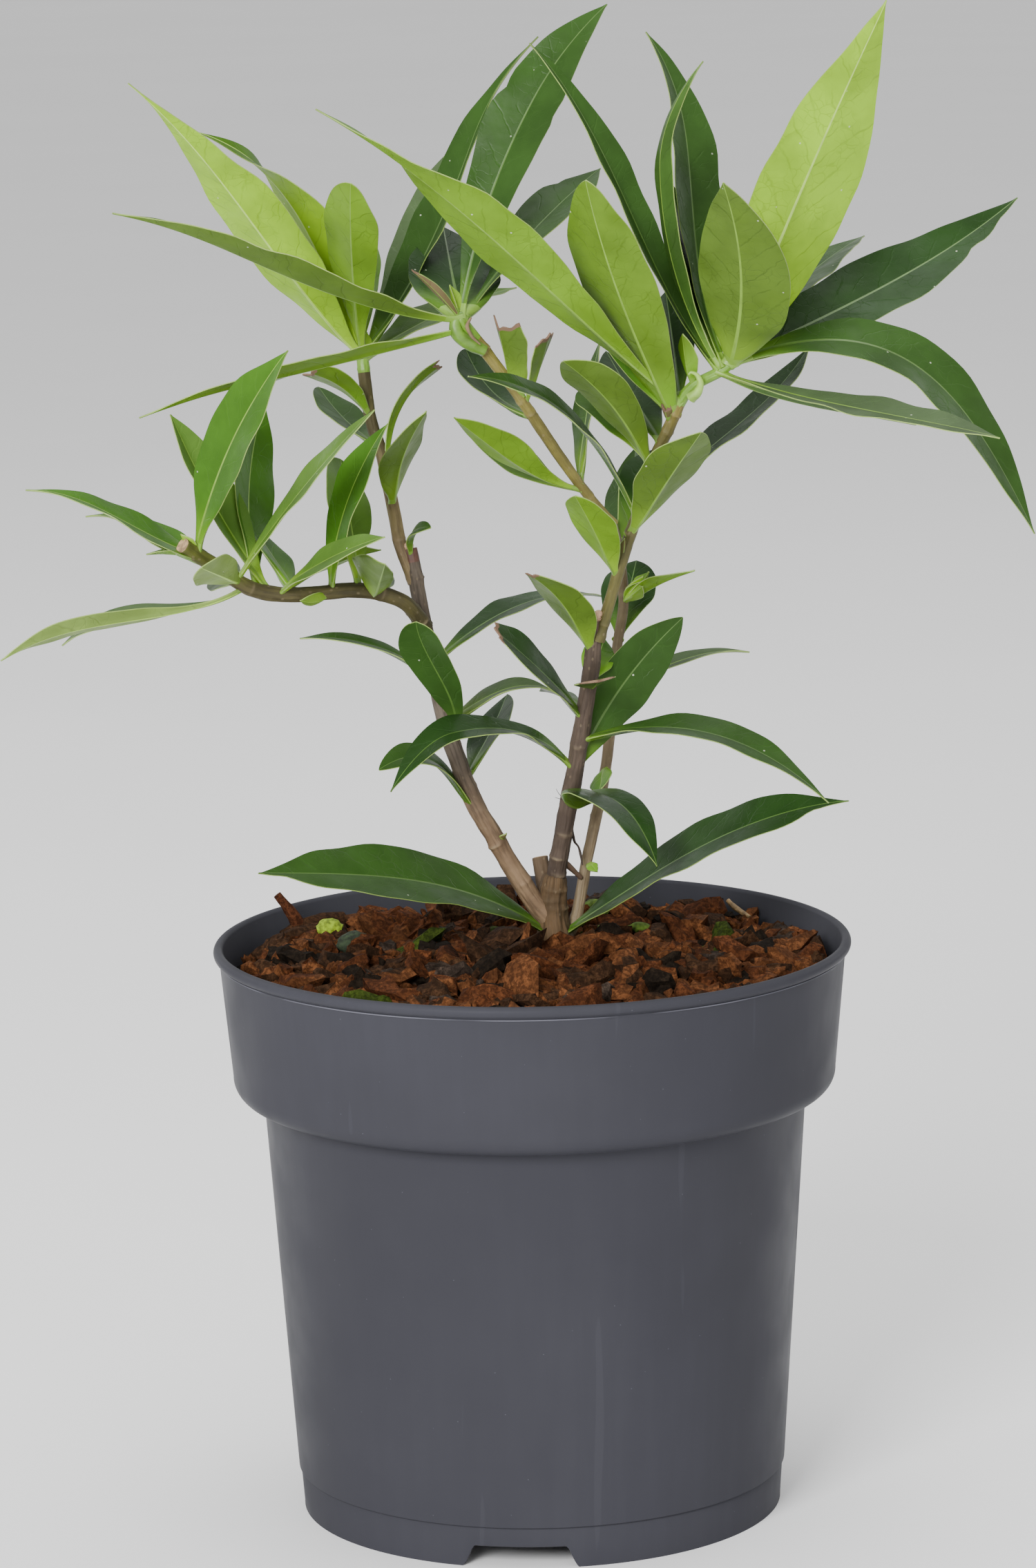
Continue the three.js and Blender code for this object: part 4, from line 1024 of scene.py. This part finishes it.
def add_limb(shape, name, settings, relief):
    """A tube along the limb: rings of points about its axis, whose radius is the limb's taper
    times a fine seeded relief, plus a swelling and a low ridge at each scar. Its tip is closed
    by rings that shrink to the middle, dished like a cut end or domed like a live one."""
    spec = LIMBS[name]
    cut_end = name in CUT_LIMBS
    number = list(LIMBS).index(name)
    length = axis_at(name, [0, 1])[2]
    rings = int(length * MM / settings.step) + 1
    share = np.linspace(0, 1, rings)
    centre, tangent, _ = axis_at(name, share)
    side = unit(np.cross(tangent, (0, 1, 0)))
    out = np.cross(side, tangent)
    theta = np.linspace(0, 2 * pi, settings.sides, endpoint=False)
    run = share * length
    s, a = run[:, None], theta[None, :]
    turns = a / (2 * pi)
    sway = 0.6 * noise(turns * 4, s / 9, 4, number)
    fibre = noise(turns * FISSURES + sway, s / 7, FISSURES, number)
    fine = noise(turns * GRAINS, s / 2.2, GRAINS, number + 9)
    lumps = noise(turns * LUMPS, s / 8, LUMPS, number + 20)
    worn = 0.5 + 0.5 * noise(turns * 9, s[:1], 9, number + 40)
    depth = settings.relief / MM * relief
    bark = depth * (1.1 * np.abs(fibre) ** 0.7 - 0.5 + 0.3 * fine + 0.7 * lumps)
    mark = np.zeros((rings, settings.sides))
    for at, bearing, size in SCARS[name]:
        towards = np.cos(a - radians(bearing))
        off = s - at * length + 0.5 * towards
        facing = (0.5 + 0.5 * towards) ** 1.5
        bark = bark + size * bell(off, 0.45) * facing + 0.5 * size * bell(off, 2.0) * facing
        mark = np.maximum(mark, 2 * size * bell(off, 0.32) * facing**4 * worn)
    if name == "trunk":
        swelling, above, fade = FLARE
        bark = bark + swelling * np.exp(-np.maximum(s - above, 0) / fade) * (1 + 0.4 * lumps)
    elif name not in ("cut_stub", "centre_stem"):
        swelling, fade = BASE
        bark = bark + swelling * np.exp(-np.maximum(s - spec["start"], 0) / fade)
    radius = spec["start"] + (spec["end"] - spec["start"]) * share[:, None] + bark
    slots = np.where(share[:-1] > TURNS.get(name, 2), 2, 0)
    slots = np.repeat(slots[:, None], settings.sides, 1)
    wobble = 0.25 * noise(turns * 5, s[:1], 5, number + 3)[0] if cut_end else 0
    rise = CUT_RISE if cut_end else np.sqrt(1 - CAP**2) * spec["end"] * 0.8
    edge = CAP[:, None] * radius[-1]
    tip = (centre[-1] + tangent[-1] * (rise[:, None] + wobble)[..., None]
           + side[-1] * (edge * np.cos(theta))[..., None]
           + out[-1] * (edge * np.sin(theta))[..., None])
    points = np.concatenate([ring_at(centre, side, out, radius, a), tip])
    over = np.full((len(CAP), settings.sides), 1 if cut_end else slots[-1, 0])
    slots = np.concatenate([slots, over])
    mark = np.concatenate([mark, np.zeros_like(over)])
    down = np.concatenate([run, length + 0.4 * np.arange(1, len(CAP) + 1)]) / UV_UNIT
    around = turns * 2 * pi * spec["start"] / UV_UNIT
    uv = np.stack(np.broadcast_arrays(around, down[:, None]), -1)
    add_tube(shape, points, slots.ravel(), (0, slots[-1, 0]), mark, uv)


def add_tube(shape, points, slots, ends=(0, 0), mark=None, uv=None):
    """Rings of points joined into a skin, and closed by a flat fan at each end."""
    rings, sides = points.shape[:2]
    first = shape.add(points, grid_faces(rings, sides, closed=True), slots, mark, uv)
    j = np.arange(1, sides - 1)
    fan = np.stack([np.zeros_like(j), j, j + 1], 1) + first
    shape.cover(fan[:, ::-1], ends[0])
    shape.cover(fan + (rings - 1) * sides, ends[1])


def add_strand(shape, slot, radii, *guide):
    """A thin round strand whose radius is blended between radii spaced evenly along it."""
    share = np.linspace(0, 1, 8 * len(guide))
    centre, tangent, _ = axis_at(guide, share)
    side = unit(np.cross(tangent, (0.31, 0.9, 0.3)))
    a = np.linspace(0, 2 * pi, STRAND_SIDES, endpoint=False)
    size = np.interp(share, np.linspace(0, 1, len(radii)), radii)[:, None]
    lumps = noise(a[None] * 7 / pi, share[:, None] * 9, STRAND_SIDES, len(radii))
    ring = ring_at(centre, side, np.cross(side, tangent), size * (1 + 0.08 * lumps), a)
    add_tube(shape, ring, slot, (slot, slot))


class DAPHNE_OT_stems(bpy.types.Operator):
    """Makes the trunk, the stems and the cut stub with the relief of their bark"""

    bl_idname = "daphne.stems"
    bl_label = "Trunk and stems"

    def execute(self, context):
        settings = context.scene.daphne_wood
        ends = plain_finishes(("cut_wood", (0.36, 0.25, 0.15), 0.8, 0.3, 700.0),
                              ("reddish_bark", (0.080, 0.032, 0.021), 0.6, 0.3, 300.0))
        for name, relief in STEMS.items():
            finish = wood_finish(f"{name}_bark", *WOODS[name])
            shape = Shape()
            add_limb(shape, name, settings, relief)
            slot = "young_bark" if name == "rear_stem" else "old_bark"
            fit(shape.make(f"{name}_wood", [finish, *ends], crease=70), slot, name)
        return {"FINISHED"}


# ---- Leaves ----

STALK_SHARE = 0.35  # Share of the length over which the stalk runs out
STALK_FADE = 5.5  # Length in which the round stalk flattens into the blade
LEAST_HALF = 0.16  # Half width of the very tip
NICK_SHARE = 0.028  # Share of the length that a bite takes
GREEN_FOOT, DRIED_END = 3.2, 1.3  # Lengths at the foot and at a cut with a finish of their own
# Height and half width of the rib below the blade and of the groove above it.
KEEL, KEEL_WIDTH, GROOVE, GROOVE_WIDTH = 0.75, 0.75, 0.22, 0.7


def outline(share, spec):
    """Half the width as a part of the greatest: a rising power times a falling power."""
    tip = OUTLINE["tip"] - OUTLINE["bluntness"] * spec["blunt"] + spec["drawn"]
    belly = spec["belly"]
    foot = tip * belly / (1 - belly) if belly else OUTLINE["foot"]
    widest = foot / (foot + tip)
    return share**foot * (1 - share) ** tip / (widest**foot * (1 - widest) ** tip)


def midrib(foot, spec, u):
    """Points of the midrib and its three directions at shares u: along, edgeways and out of
    the upper face. The chord is bent by two cubic bumps, one nearer the foot and one nearer the
    tip, and by a hook that grows with the square of the last third."""
    reach = spec["reach"]
    chord = unit(reach)
    rise = unit(np.array((0, 0, 1.0)) - chord * chord[2])
    aside = np.cross(chord, rise)
    middle = foot + reach * u[:, None]
    late = np.maximum(0, (u - 0.66) / 0.34) ** 2 - u**3
    for way, bow, skew, hook in zip((rise, aside), (spec["arch"], spec["sway"]), spec["skew"],
                                    spec["hook"]):
        near, far = 4 / 3 * bow + skew, 4 / 3 * bow - skew
        bend = 3 * u * (1 - u) ** 2 * near + 3 * u**2 * (1 - u) * far + hook * late
        middle = middle + way * bend[:, None]
    tangent = unit(np.gradient(middle, u, axis=0))
    angle = (spec["roll"] + spec["start_turn"] * (1 - ease(u, 0, 0.45))
             + spec["end_turn"] * ease(u, 0.5, 1))
    angle = np.radians(angle)[:, None]
    face = np.cos(angle) * rise + np.sin(angle) * aside
    edgeways = unit(np.cross(tangent, face))
    return middle, tangent, edgeways, np.cross(edgeways, tangent)


def blade_widths(spec, u, column, phase, columns):
    """Distance of every column from the midrib, and the half width, at shares u.

    The half width is the outline's, with ripples and bites, and never less than the stalk's.
    The first column on each side is the edge of the rib, and the rest share what is beyond.
    """
    side = np.sign(column)
    run = u * np.linalg.norm(spec["reach"])
    stalk = np.sqrt(spec["width"] / 18) * (1.05 + 0.95 * np.exp(-run / 3.0))
    stalk = stalk * np.clip(1 - u / STALK_SHARE, 0, 1)
    form = outline(np.minimum(u * spec["kept"], 1), spec)[:, None] * spec["width"] / 2
    swing = (np.sin(u[:, None] * 15 + phase + 2.2 * side)
             + 0.6 * np.sin(u[:, None] * 27 + 2 * phase + 4.1 * side))
    form = form * (1 + spec["lean"] * side) * (1 + RIPPLE * swing)
    for share, where, depth in spec["nicks"]:
        form = form * (1 - depth * bell(u - share, NICK_SHARE)[:, None] * (side == where))
    half = np.maximum(np.sqrt(stalk[:, None] ** 2 + form**2), LEAST_HALF)
    rib = np.minimum(half, (0.5 * (1 - 0.8 * u) * np.sqrt(spec["width"] / 20))[:, None])
    beyond = np.maximum(np.abs(column) - 1, 0) / (columns - 1)
    x = side * (rib * np.minimum(np.abs(column), 1) + (half - rib) * beyond**0.92)
    return x, half


def blade_slots(spec, columns, run, span):
    """Finish of each face of a blade: its upper side, its underside, ribs, margins and ends."""
    width = 2 * columns + 1
    look = LOOK_NUMBER[spec["look"]]
    row = np.where(np.arange(2 * width) < width, look, look + 1)
    above, below = RIBS.get(spec["look"], (MIDRIB, MIDRIB))
    row[[columns - 1, columns]] = above
    row[[width + columns - 1, width + columns]] = below
    row[[width - 1, 2 * width - 1]] = MARGIN
    slots = np.tile(row, (len(run) - 1, 1))
    slots[run[:-1] < GREEN_FOOT] = MIDRIB
    if spec["kept"] < 1:
        slots[span - run[:-1] < DRIED_END] = DRIED
    return slots


def add_leaf(shape, foot, spec, number, settings):
    """A closed blade on a grid of rows along the midrib and columns across it.

    A row's columns stand apart along the edgeways direction, and are raised by fold, cup and
    ruffles. The upper and lower points lie half a thickness off that, rounder towards the
    stalk, with a groove above and a rib below.
    """
    k = settings.columns
    t = np.linspace(0, 1, settings.rows)
    u = 0.55 * t + 0.45 * (0.5 - 0.5 * np.cos(pi * t))
    span = np.linalg.norm(spec["reach"])
    middle, tangent, edgeways, normal = (m[:, None] for m in midrib(foot, spec, u))
    run = u * span
    phase = 2 * pi * chance(number + 31)
    column = np.arange(-k, k + 1)[None, :]
    side = np.sign(column)
    x, half = blade_widths(spec, u, column, phase, k)
    v = x / half
    ruffle = (np.sin(run[:, None] / 4.6 + phase + 1.3 * side)
              + 0.5 * np.sin(run[:, None] / 2.7 + 2 * phase + 2.1 * side))
    raised = half * (spec["fold"] * (np.sqrt(v**2 + 0.03) - 0.173) + spec["cup"] * v**2)
    lift = raised + WAVE * np.minimum(half / 7, 1) * np.abs(v) ** 2.2 * ruffle * 0.55
    stalk_part = np.exp(-run / STALK_FADE)[:, None]
    flat_part = 1 - stalk_part
    plump = 1.6 * half * np.sqrt(np.clip(1 - v**2, 0, 1))
    plate = settings.thickness / MM * (1 - 0.4 * v**2)
    thick = plate * flat_part + np.maximum(plump, 0.3) * stalk_part
    keel = (KEEL * (1 - u) ** 0.6)[:, None] * bell(x, KEEL_WIDTH) * flat_part
    groove = GROOVE * bell(x, GROOVE_WIDTH) * flat_part * ease(1 - u, 0, 0.3)[:, None]
    centre = middle + edgeways * x[..., None] + normal * lift[..., None]
    if spec["kept"] < 1:
        ragged = 0.9 * np.sin(v * 3 + phase) + 0.6 * np.sin(v * 7.7 + 2 * phase)
        centre = centre + tangent * (ragged * ease(u, 0.86, 1)[:, None])[..., None]
    top = centre + normal * (thick / 2 - groove)[..., None]
    low = centre - normal * (thick / 2 + keel)[..., None]
    points = np.concatenate([top, low[:, ::-1]], 1)
    uv = np.stack(np.broadcast_arrays(x, run[:, None]), -1) / UV_UNIT
    uv = np.concatenate([uv, uv[:, ::-1]], 1)
    rows, around = points.shape[:2]
    slots = blade_slots(spec, k, run, span)
    first = shape.add(points, grid_faces(rows, around, closed=True), slots.ravel(), None, uv)
    c = np.arange(2 * k)
    cap = np.stack([c, c + 1, around - 2 - c, around - 1 - c], 1) + first
    shape.cover(cap[:, ::-1], MIDRIB)
    shape.cover(cap + (rows - 1) * around, DRIED if spec["kept"] < 1 else MARGIN)


def add_leaves(shape, name, rows, seed, settings):
    """The leaves of a table, each on the limb's axis, numbered from a seed."""
    for number, spec in enumerate(rows, seed):
        foot = axis_at(name, [spec["at"]])[0][0]
        add_leaf(shape, foot, spec, number, settings)


class DAPHNE_OT_crowns(bpy.types.Operator):
    """Makes each crown: its shoot and every leaf on it"""

    bl_idname = "daphne.crowns"
    bl_label = "Crowns"

    def execute(self, context):
        scene = context.scene
        ends = plain_finishes(("shoot_cut", (0.36, 0.235, 0.125), 0.8, 0.4, 700.0),
                              ("green_shoot", (0.13, 0.26, 0.020), 0.45, 0.2))
        for name in CROWNS:
            wood = Shape()
            add_limb(wood, name, scene.daphne_wood, CROWN_RELIEF)
            finish = wood_finish(f"{name}_bark", *WOODS[name])
            fit(wood.make(f"{name}_shoot", [finish, *ends], crease=70), "crown_leaves", name)
            blades = Shape()
            add_leaves(blades, name, leaves_of(name), CROWN_SEED, scene.daphne_leaf)
            fit(blades.make(f"{name}_foliage", leaf_finishes()), "crown_leaves", name)
        return {"FINISHED"}


class DAPHNE_OT_stem_leaves(bpy.types.Operator):
    """Makes the single leaves on the trunk and the bare stems"""

    bl_idname = "daphne.stem_leaves"
    bl_label = "Leaves on the stems"

    def execute(self, context):
        for name, rows in LEAVES.items():
            if name in CROWNS:
                continue
            blades = Shape()
            add_leaves(blades, name, rows, STEM_SEED, context.scene.daphne_leaf)
            nodes = [f"{name}_leaf_{i + 1}" for i in range(len(rows))]
            fit(blades.make(f"{name}_leaves", leaf_finishes()), "stem_leaves", *nodes)
        return {"FINISHED"}


# ---- Small growth ----

# Buds, bracts and slips that the solids leave out, each on its limb.
SLIPS = {
    "left_crown": [
        leaf(1, (-1.5, 0.5, 9), 4, cup=0.5, look="lime"),
        leaf(1, (1.5, 2, 7), 3.5, roll=60, cup=0.5, look="lime"),
    ],
    "middle_crown": [
        leaf(0.99, (-13.5, -11, 16), 2.8, arch=1, roll=30, kept=0.95, look="brown"),
        leaf(1, (-3, 2, 10), 4, cup=0.5, look="lime"),
        leaf(0.84, (-4.5, -3, 3.5), 3, roll=120, kept=0.7, look="brown"),
    ],
    "right_crown": [
        leaf(0.99, (-3, 1, 12), 4.5, roll=-30, cup=0.5, look="lime"),
        leaf(1, (3, 2, 8), 4, roll=60, cup=0.5, look="lime"),
        leaf(0.72, (-1.5, -3.2, 5.5), 3.6, cup=0.4, kept=0.7, look="brown"),
        leaf(0.26, (1, -3.5, 7.5), 2.6, cup=0.3, look="brown"),
        leaf(0.86, (-3, -6, 16), 7, roll=-20, blunt=0.3, look="fresh"),
    ],
    "side_crown": [
        leaf(0.93, (-4.5, -2.5, 6.5), 4, cup=0.5, look="lime"),
        leaf(0.93, (-15, 3, 0), 5, arch=1, look="fresh"),
    ],
    "rear_stem": [
        leaf(0.8, (7.5, -10, 10.5), 5.5, arch=-1, roll=60, fold=0.6, look="lime"),
        leaf(0.8, (5.5, -13, 6.5), 5, roll=-60, fold=0.6, look="lime"),
        leaf(0.8, (6.5, -11, 8), 4.5, arch=1, roll=150, fold=0.6, look="lime"),
        leaf(0.8, (6, -8, 9), 4, roll=10, fold=0.6, look="young"),
        leaf(0.19, (3.2, -5, -2), 3.6, roll=20, look="fresh"),
    ],
    "left_stem": [leaf(0.24, (3, -3.5, 3), 2.4, look="brown")],
}
# Finish, radii and guide points of each strand: leaf stalks left curled, then twigs and hairs.
STRANDS = (
    (0, (1.6, 2.1, 2.1, 1.9, 1.4, 0.4), (-10.5, 4, 348), (-15, 3, 350.5), (-18.3, 2.5, 353.2),
     (-19, 2.5, 356.5), (-17.3, 3, 358.8), (-14.6, 3.5, 358.2)),
    (2, (0.3, 0.6, 0.5, 0.2), (-14.4, 2.5, 358), (-15.6, 1, 355.6), (-14.2, 0.6, 352.6),
     (-11.8, 1, 350.2)),
    (1, (1.7, 1.5, 1.1, 0.9, 0.6, 0.25), (48.8, -20.5, 335.9), (50.9, -21.5, 337.7),
     (51.7, -22, 340.2), (50.9, -22, 342.5), (49.2, -22, 343.5), (48.2, -22, 342.9)),
)
TWIGS = (
    (0, (1.2, 0.9, 0.7), (9, 12, 194), (12, 15, 190.6), (15, 18, 187)),
    (1, (0.3, 0.45, 0.3, 0.4, 0.2), (12.6, 14, 203.4), (13.2, 14.5, 199), (14.6, 15.5, 196.5),
     (15.6, 17, 191)),
    (1, (0.12, 0.1, 0.06), (10.6, 8, 213), (9, 7, 214.6), (8, 6.6, 216.4)),
    (1, (0.12, 0.1, 0.06), (10.6, 8, 213.4), (9.4, 7, 213.2), (7.6, 6.6, 213.8)),
    (2, (0.7, 1.5, 1.4, 0.5), (20.4, -1.2, 268.2), (20.9, -1.6, 269.3), (21.5, -1.6, 270),
     (22.3, -1.2, 269.6)),
    (2, (0.5, 1.2, 1.1, 0.4), (-35, 9.4, 288.6), (-34.6, 9.2, 289.8), (-33.8, 9.2, 289.9),
     (-33.2, 9.2, 289)),
)


class DAPHNE_OT_growth(bpy.types.Operator):
    """Makes the buds, bracts, curled petioles and dry twigs"""

    bl_idname = "daphne.growth"
    bl_label = "Small growth"

    def execute(self, context):
        slips = Shape()
        for name, rows in SLIPS.items():
            add_leaves(slips, name, rows, GROWTH_SEED, context.scene.daphne_leaf)
        fit(slips.make("buds_and_bracts", leaf_finishes()), "crown_leaves")
        curled = plain_finishes(("curled_green", (0.105, 0.215, 0.018), 0.45, 0.3),
                                ("curled_pale", (0.24, 0.40, 0.060), 0.45, 0.2),
                                ("torn_edge", (0.16, 0.11, 0.055), 0.8, 0.3))
        dry = plain_finishes(("brown_twig", (0.105, 0.062, 0.038), 0.8, 0.3),
                             ("dark_twig", (0.060, 0.042, 0.032), 0.8, 0.3),
                             ("cut_knob", (0.44, 0.27, 0.17), 0.8, 0.35, 600.0))
        for name, table, finishes, slot in (
                ("curled_petioles", STRANDS, curled, "crown_leaves"),
                ("dry_twigs", TWIGS, dry, "old_bark")):
            shape = Shape()
            for number, radii, *guide in table:
                add_strand(shape, number, radii, *guide)
            fit(shape.make(name, finishes), slot)
        return {"FINISHED"}


# ---- Stage ----

CAMERA = {"distance": 1782, "down": 10.58, "roll": -1.107, "aim": (-3.3, 0, 219.3)}
SENSOR = 36  # Width in millimetres
FAR = 50  # How far the camera sees, in metres
FLOOR_EDGE = 40000.0  # From the middle to each side
# Share of the key light's power, size and place of each lamp, in metres.
LAMPS = {"key": (3.1, 0.9, (-0.8, -2.0, 1.2)), "fill": (0.2, 1.2, (1.2, -1.7, 0.7)),
         "top": (1.0, 1.5, (0.1, 0.3, 2.3)), "left_rim": (0.1, 0.9, (-1.2, 1.3, 0.9)),
         "right_rim": (0.1, 0.9, (1.3, 1.2, 1.0))}
LIT_POINT = (0, 0, 0.24)  # Where every lamp looks, in metres
SKY = {"Color": (1, 1, 1, 1), "Strength": 0.8}


def put(name, data, axes, place):
    """A lamp or camera whose x, y and z axes and place are given, in metres."""
    made = bpy.data.objects.new(name, data)
    turn = Matrix(np.stack(axes, 1).tolist()).to_4x4()
    turn.translation = place
    made.matrix_world = turn
    bpy.context.scene.collection.objects.link(made)
    return made


class DAPHNE_OT_stage(bpy.types.Operator):
    """Makes the floor, the soft lights and the camera"""

    bl_idname = "daphne.stage"
    bl_label = "Floor, lights and camera"

    def execute(self, context):
        settings = context.scene.daphne_stage
        self.camera(context, settings)
        corners = [(x * FLOOR_EDGE, y * FLOOR_EDGE, 0)
                   for x, y in ((-1, -1), (1, -1), (1, 1), (-1, 1))]
        floor = Shape()
        floor.add(corners, [(0, 1, 2, 3)], 0)
        paper = plain_finish("floor_paper", tuple(settings.floor_color), 0.9, 0.01, 3.0)
        floor.make("floor", [paper])
        for name, (power, size, place) in LAMPS.items():
            lamp = bpy.data.lights.new(name, "AREA")
            lamp.energy, lamp.size = settings.key_power * power, size
            z = unit(np.array(place) - np.array(LIT_POINT))
            x = unit(np.cross((0, 0, 1.0), z))
            put(name, lamp, (x, np.cross(z, x), z), place)
        world = bpy.data.worlds.new("studio")
        world.use_nodes = True
        for socket, value in SKY.items():
            world.node_tree.nodes["Background"].inputs[socket].default_value = value
        context.scene.world = world
        return {"FINISHED"}

    def camera(self, context, settings):
        """Looks along +Y and down, rolled slightly, at a point on the plant's axis."""
        e, r = radians(CAMERA["down"]), radians(CAMERA["roll"])
        forward = np.array((0, cos(e), -sin(e)))
        right = np.array((1.0, 0, 0))
        up = np.cross(right, forward)
        x = cos(r) * right + sin(r) * up
        y = -sin(r) * right + cos(r) * up
        place = (np.array(CAMERA["aim"]) - forward * CAMERA["distance"]) * MM
        data = bpy.data.cameras.new("camera")
        data.lens, data.sensor_width, data.sensor_fit = settings.focal_length, SENSOR, "AUTO"
        data.clip_end = FAR
        context.scene.camera = put("camera", data, (x, y, -forward), place.tolist())


class DAPHNE_PT_panel(bpy.types.Panel):
    """Lists the plant's settings and the steps that build it"""

    bl_label = "Potted daphne"
    bl_space_type = "VIEW_3D"
    bl_region_type = "UI"
    bl_category = "Daphne"

    def draw(self, context):
        for group in GROUPS:
            settings = getattr(context.scene, group)
            box = self.layout.box()
            for name in settings.bl_rna.properties.keys():
                if name not in ("rna_type", "name"):
                    box.prop(settings, name)
        for operator in OPERATORS:
            self.layout.operator(operator.bl_idname)


OPERATORS = (DAPHNE_OT_stage, DAPHNE_OT_pot, DAPHNE_OT_bark, DAPHNE_OT_stems,
             DAPHNE_OT_crowns, DAPHNE_OT_stem_leaves, DAPHNE_OT_growth)
CLASSES = (*GROUPS.values(), *OPERATORS, DAPHNE_PT_panel)


def register():
    """Adds the classes, and each group of settings to the scene."""
    for made in CLASSES:
        bpy.utils.register_class(made)
    for name, group in GROUPS.items():
        setattr(bpy.types.Scene, name, PointerProperty(type=group))


def unregister():
    """Takes away what register added."""
    for name in GROUPS:
        delattr(bpy.types.Scene, name)
    for made in reversed(CLASSES):
        bpy.utils.unregister_class(made)


def main():
    """Builds the plant and its stage step by step."""
    register()
    for operator in OPERATORS:
        group, step = operator.bl_idname.split(".")
        getattr(getattr(bpy.ops, group), step)()


if __name__ == "__main__":
    main()
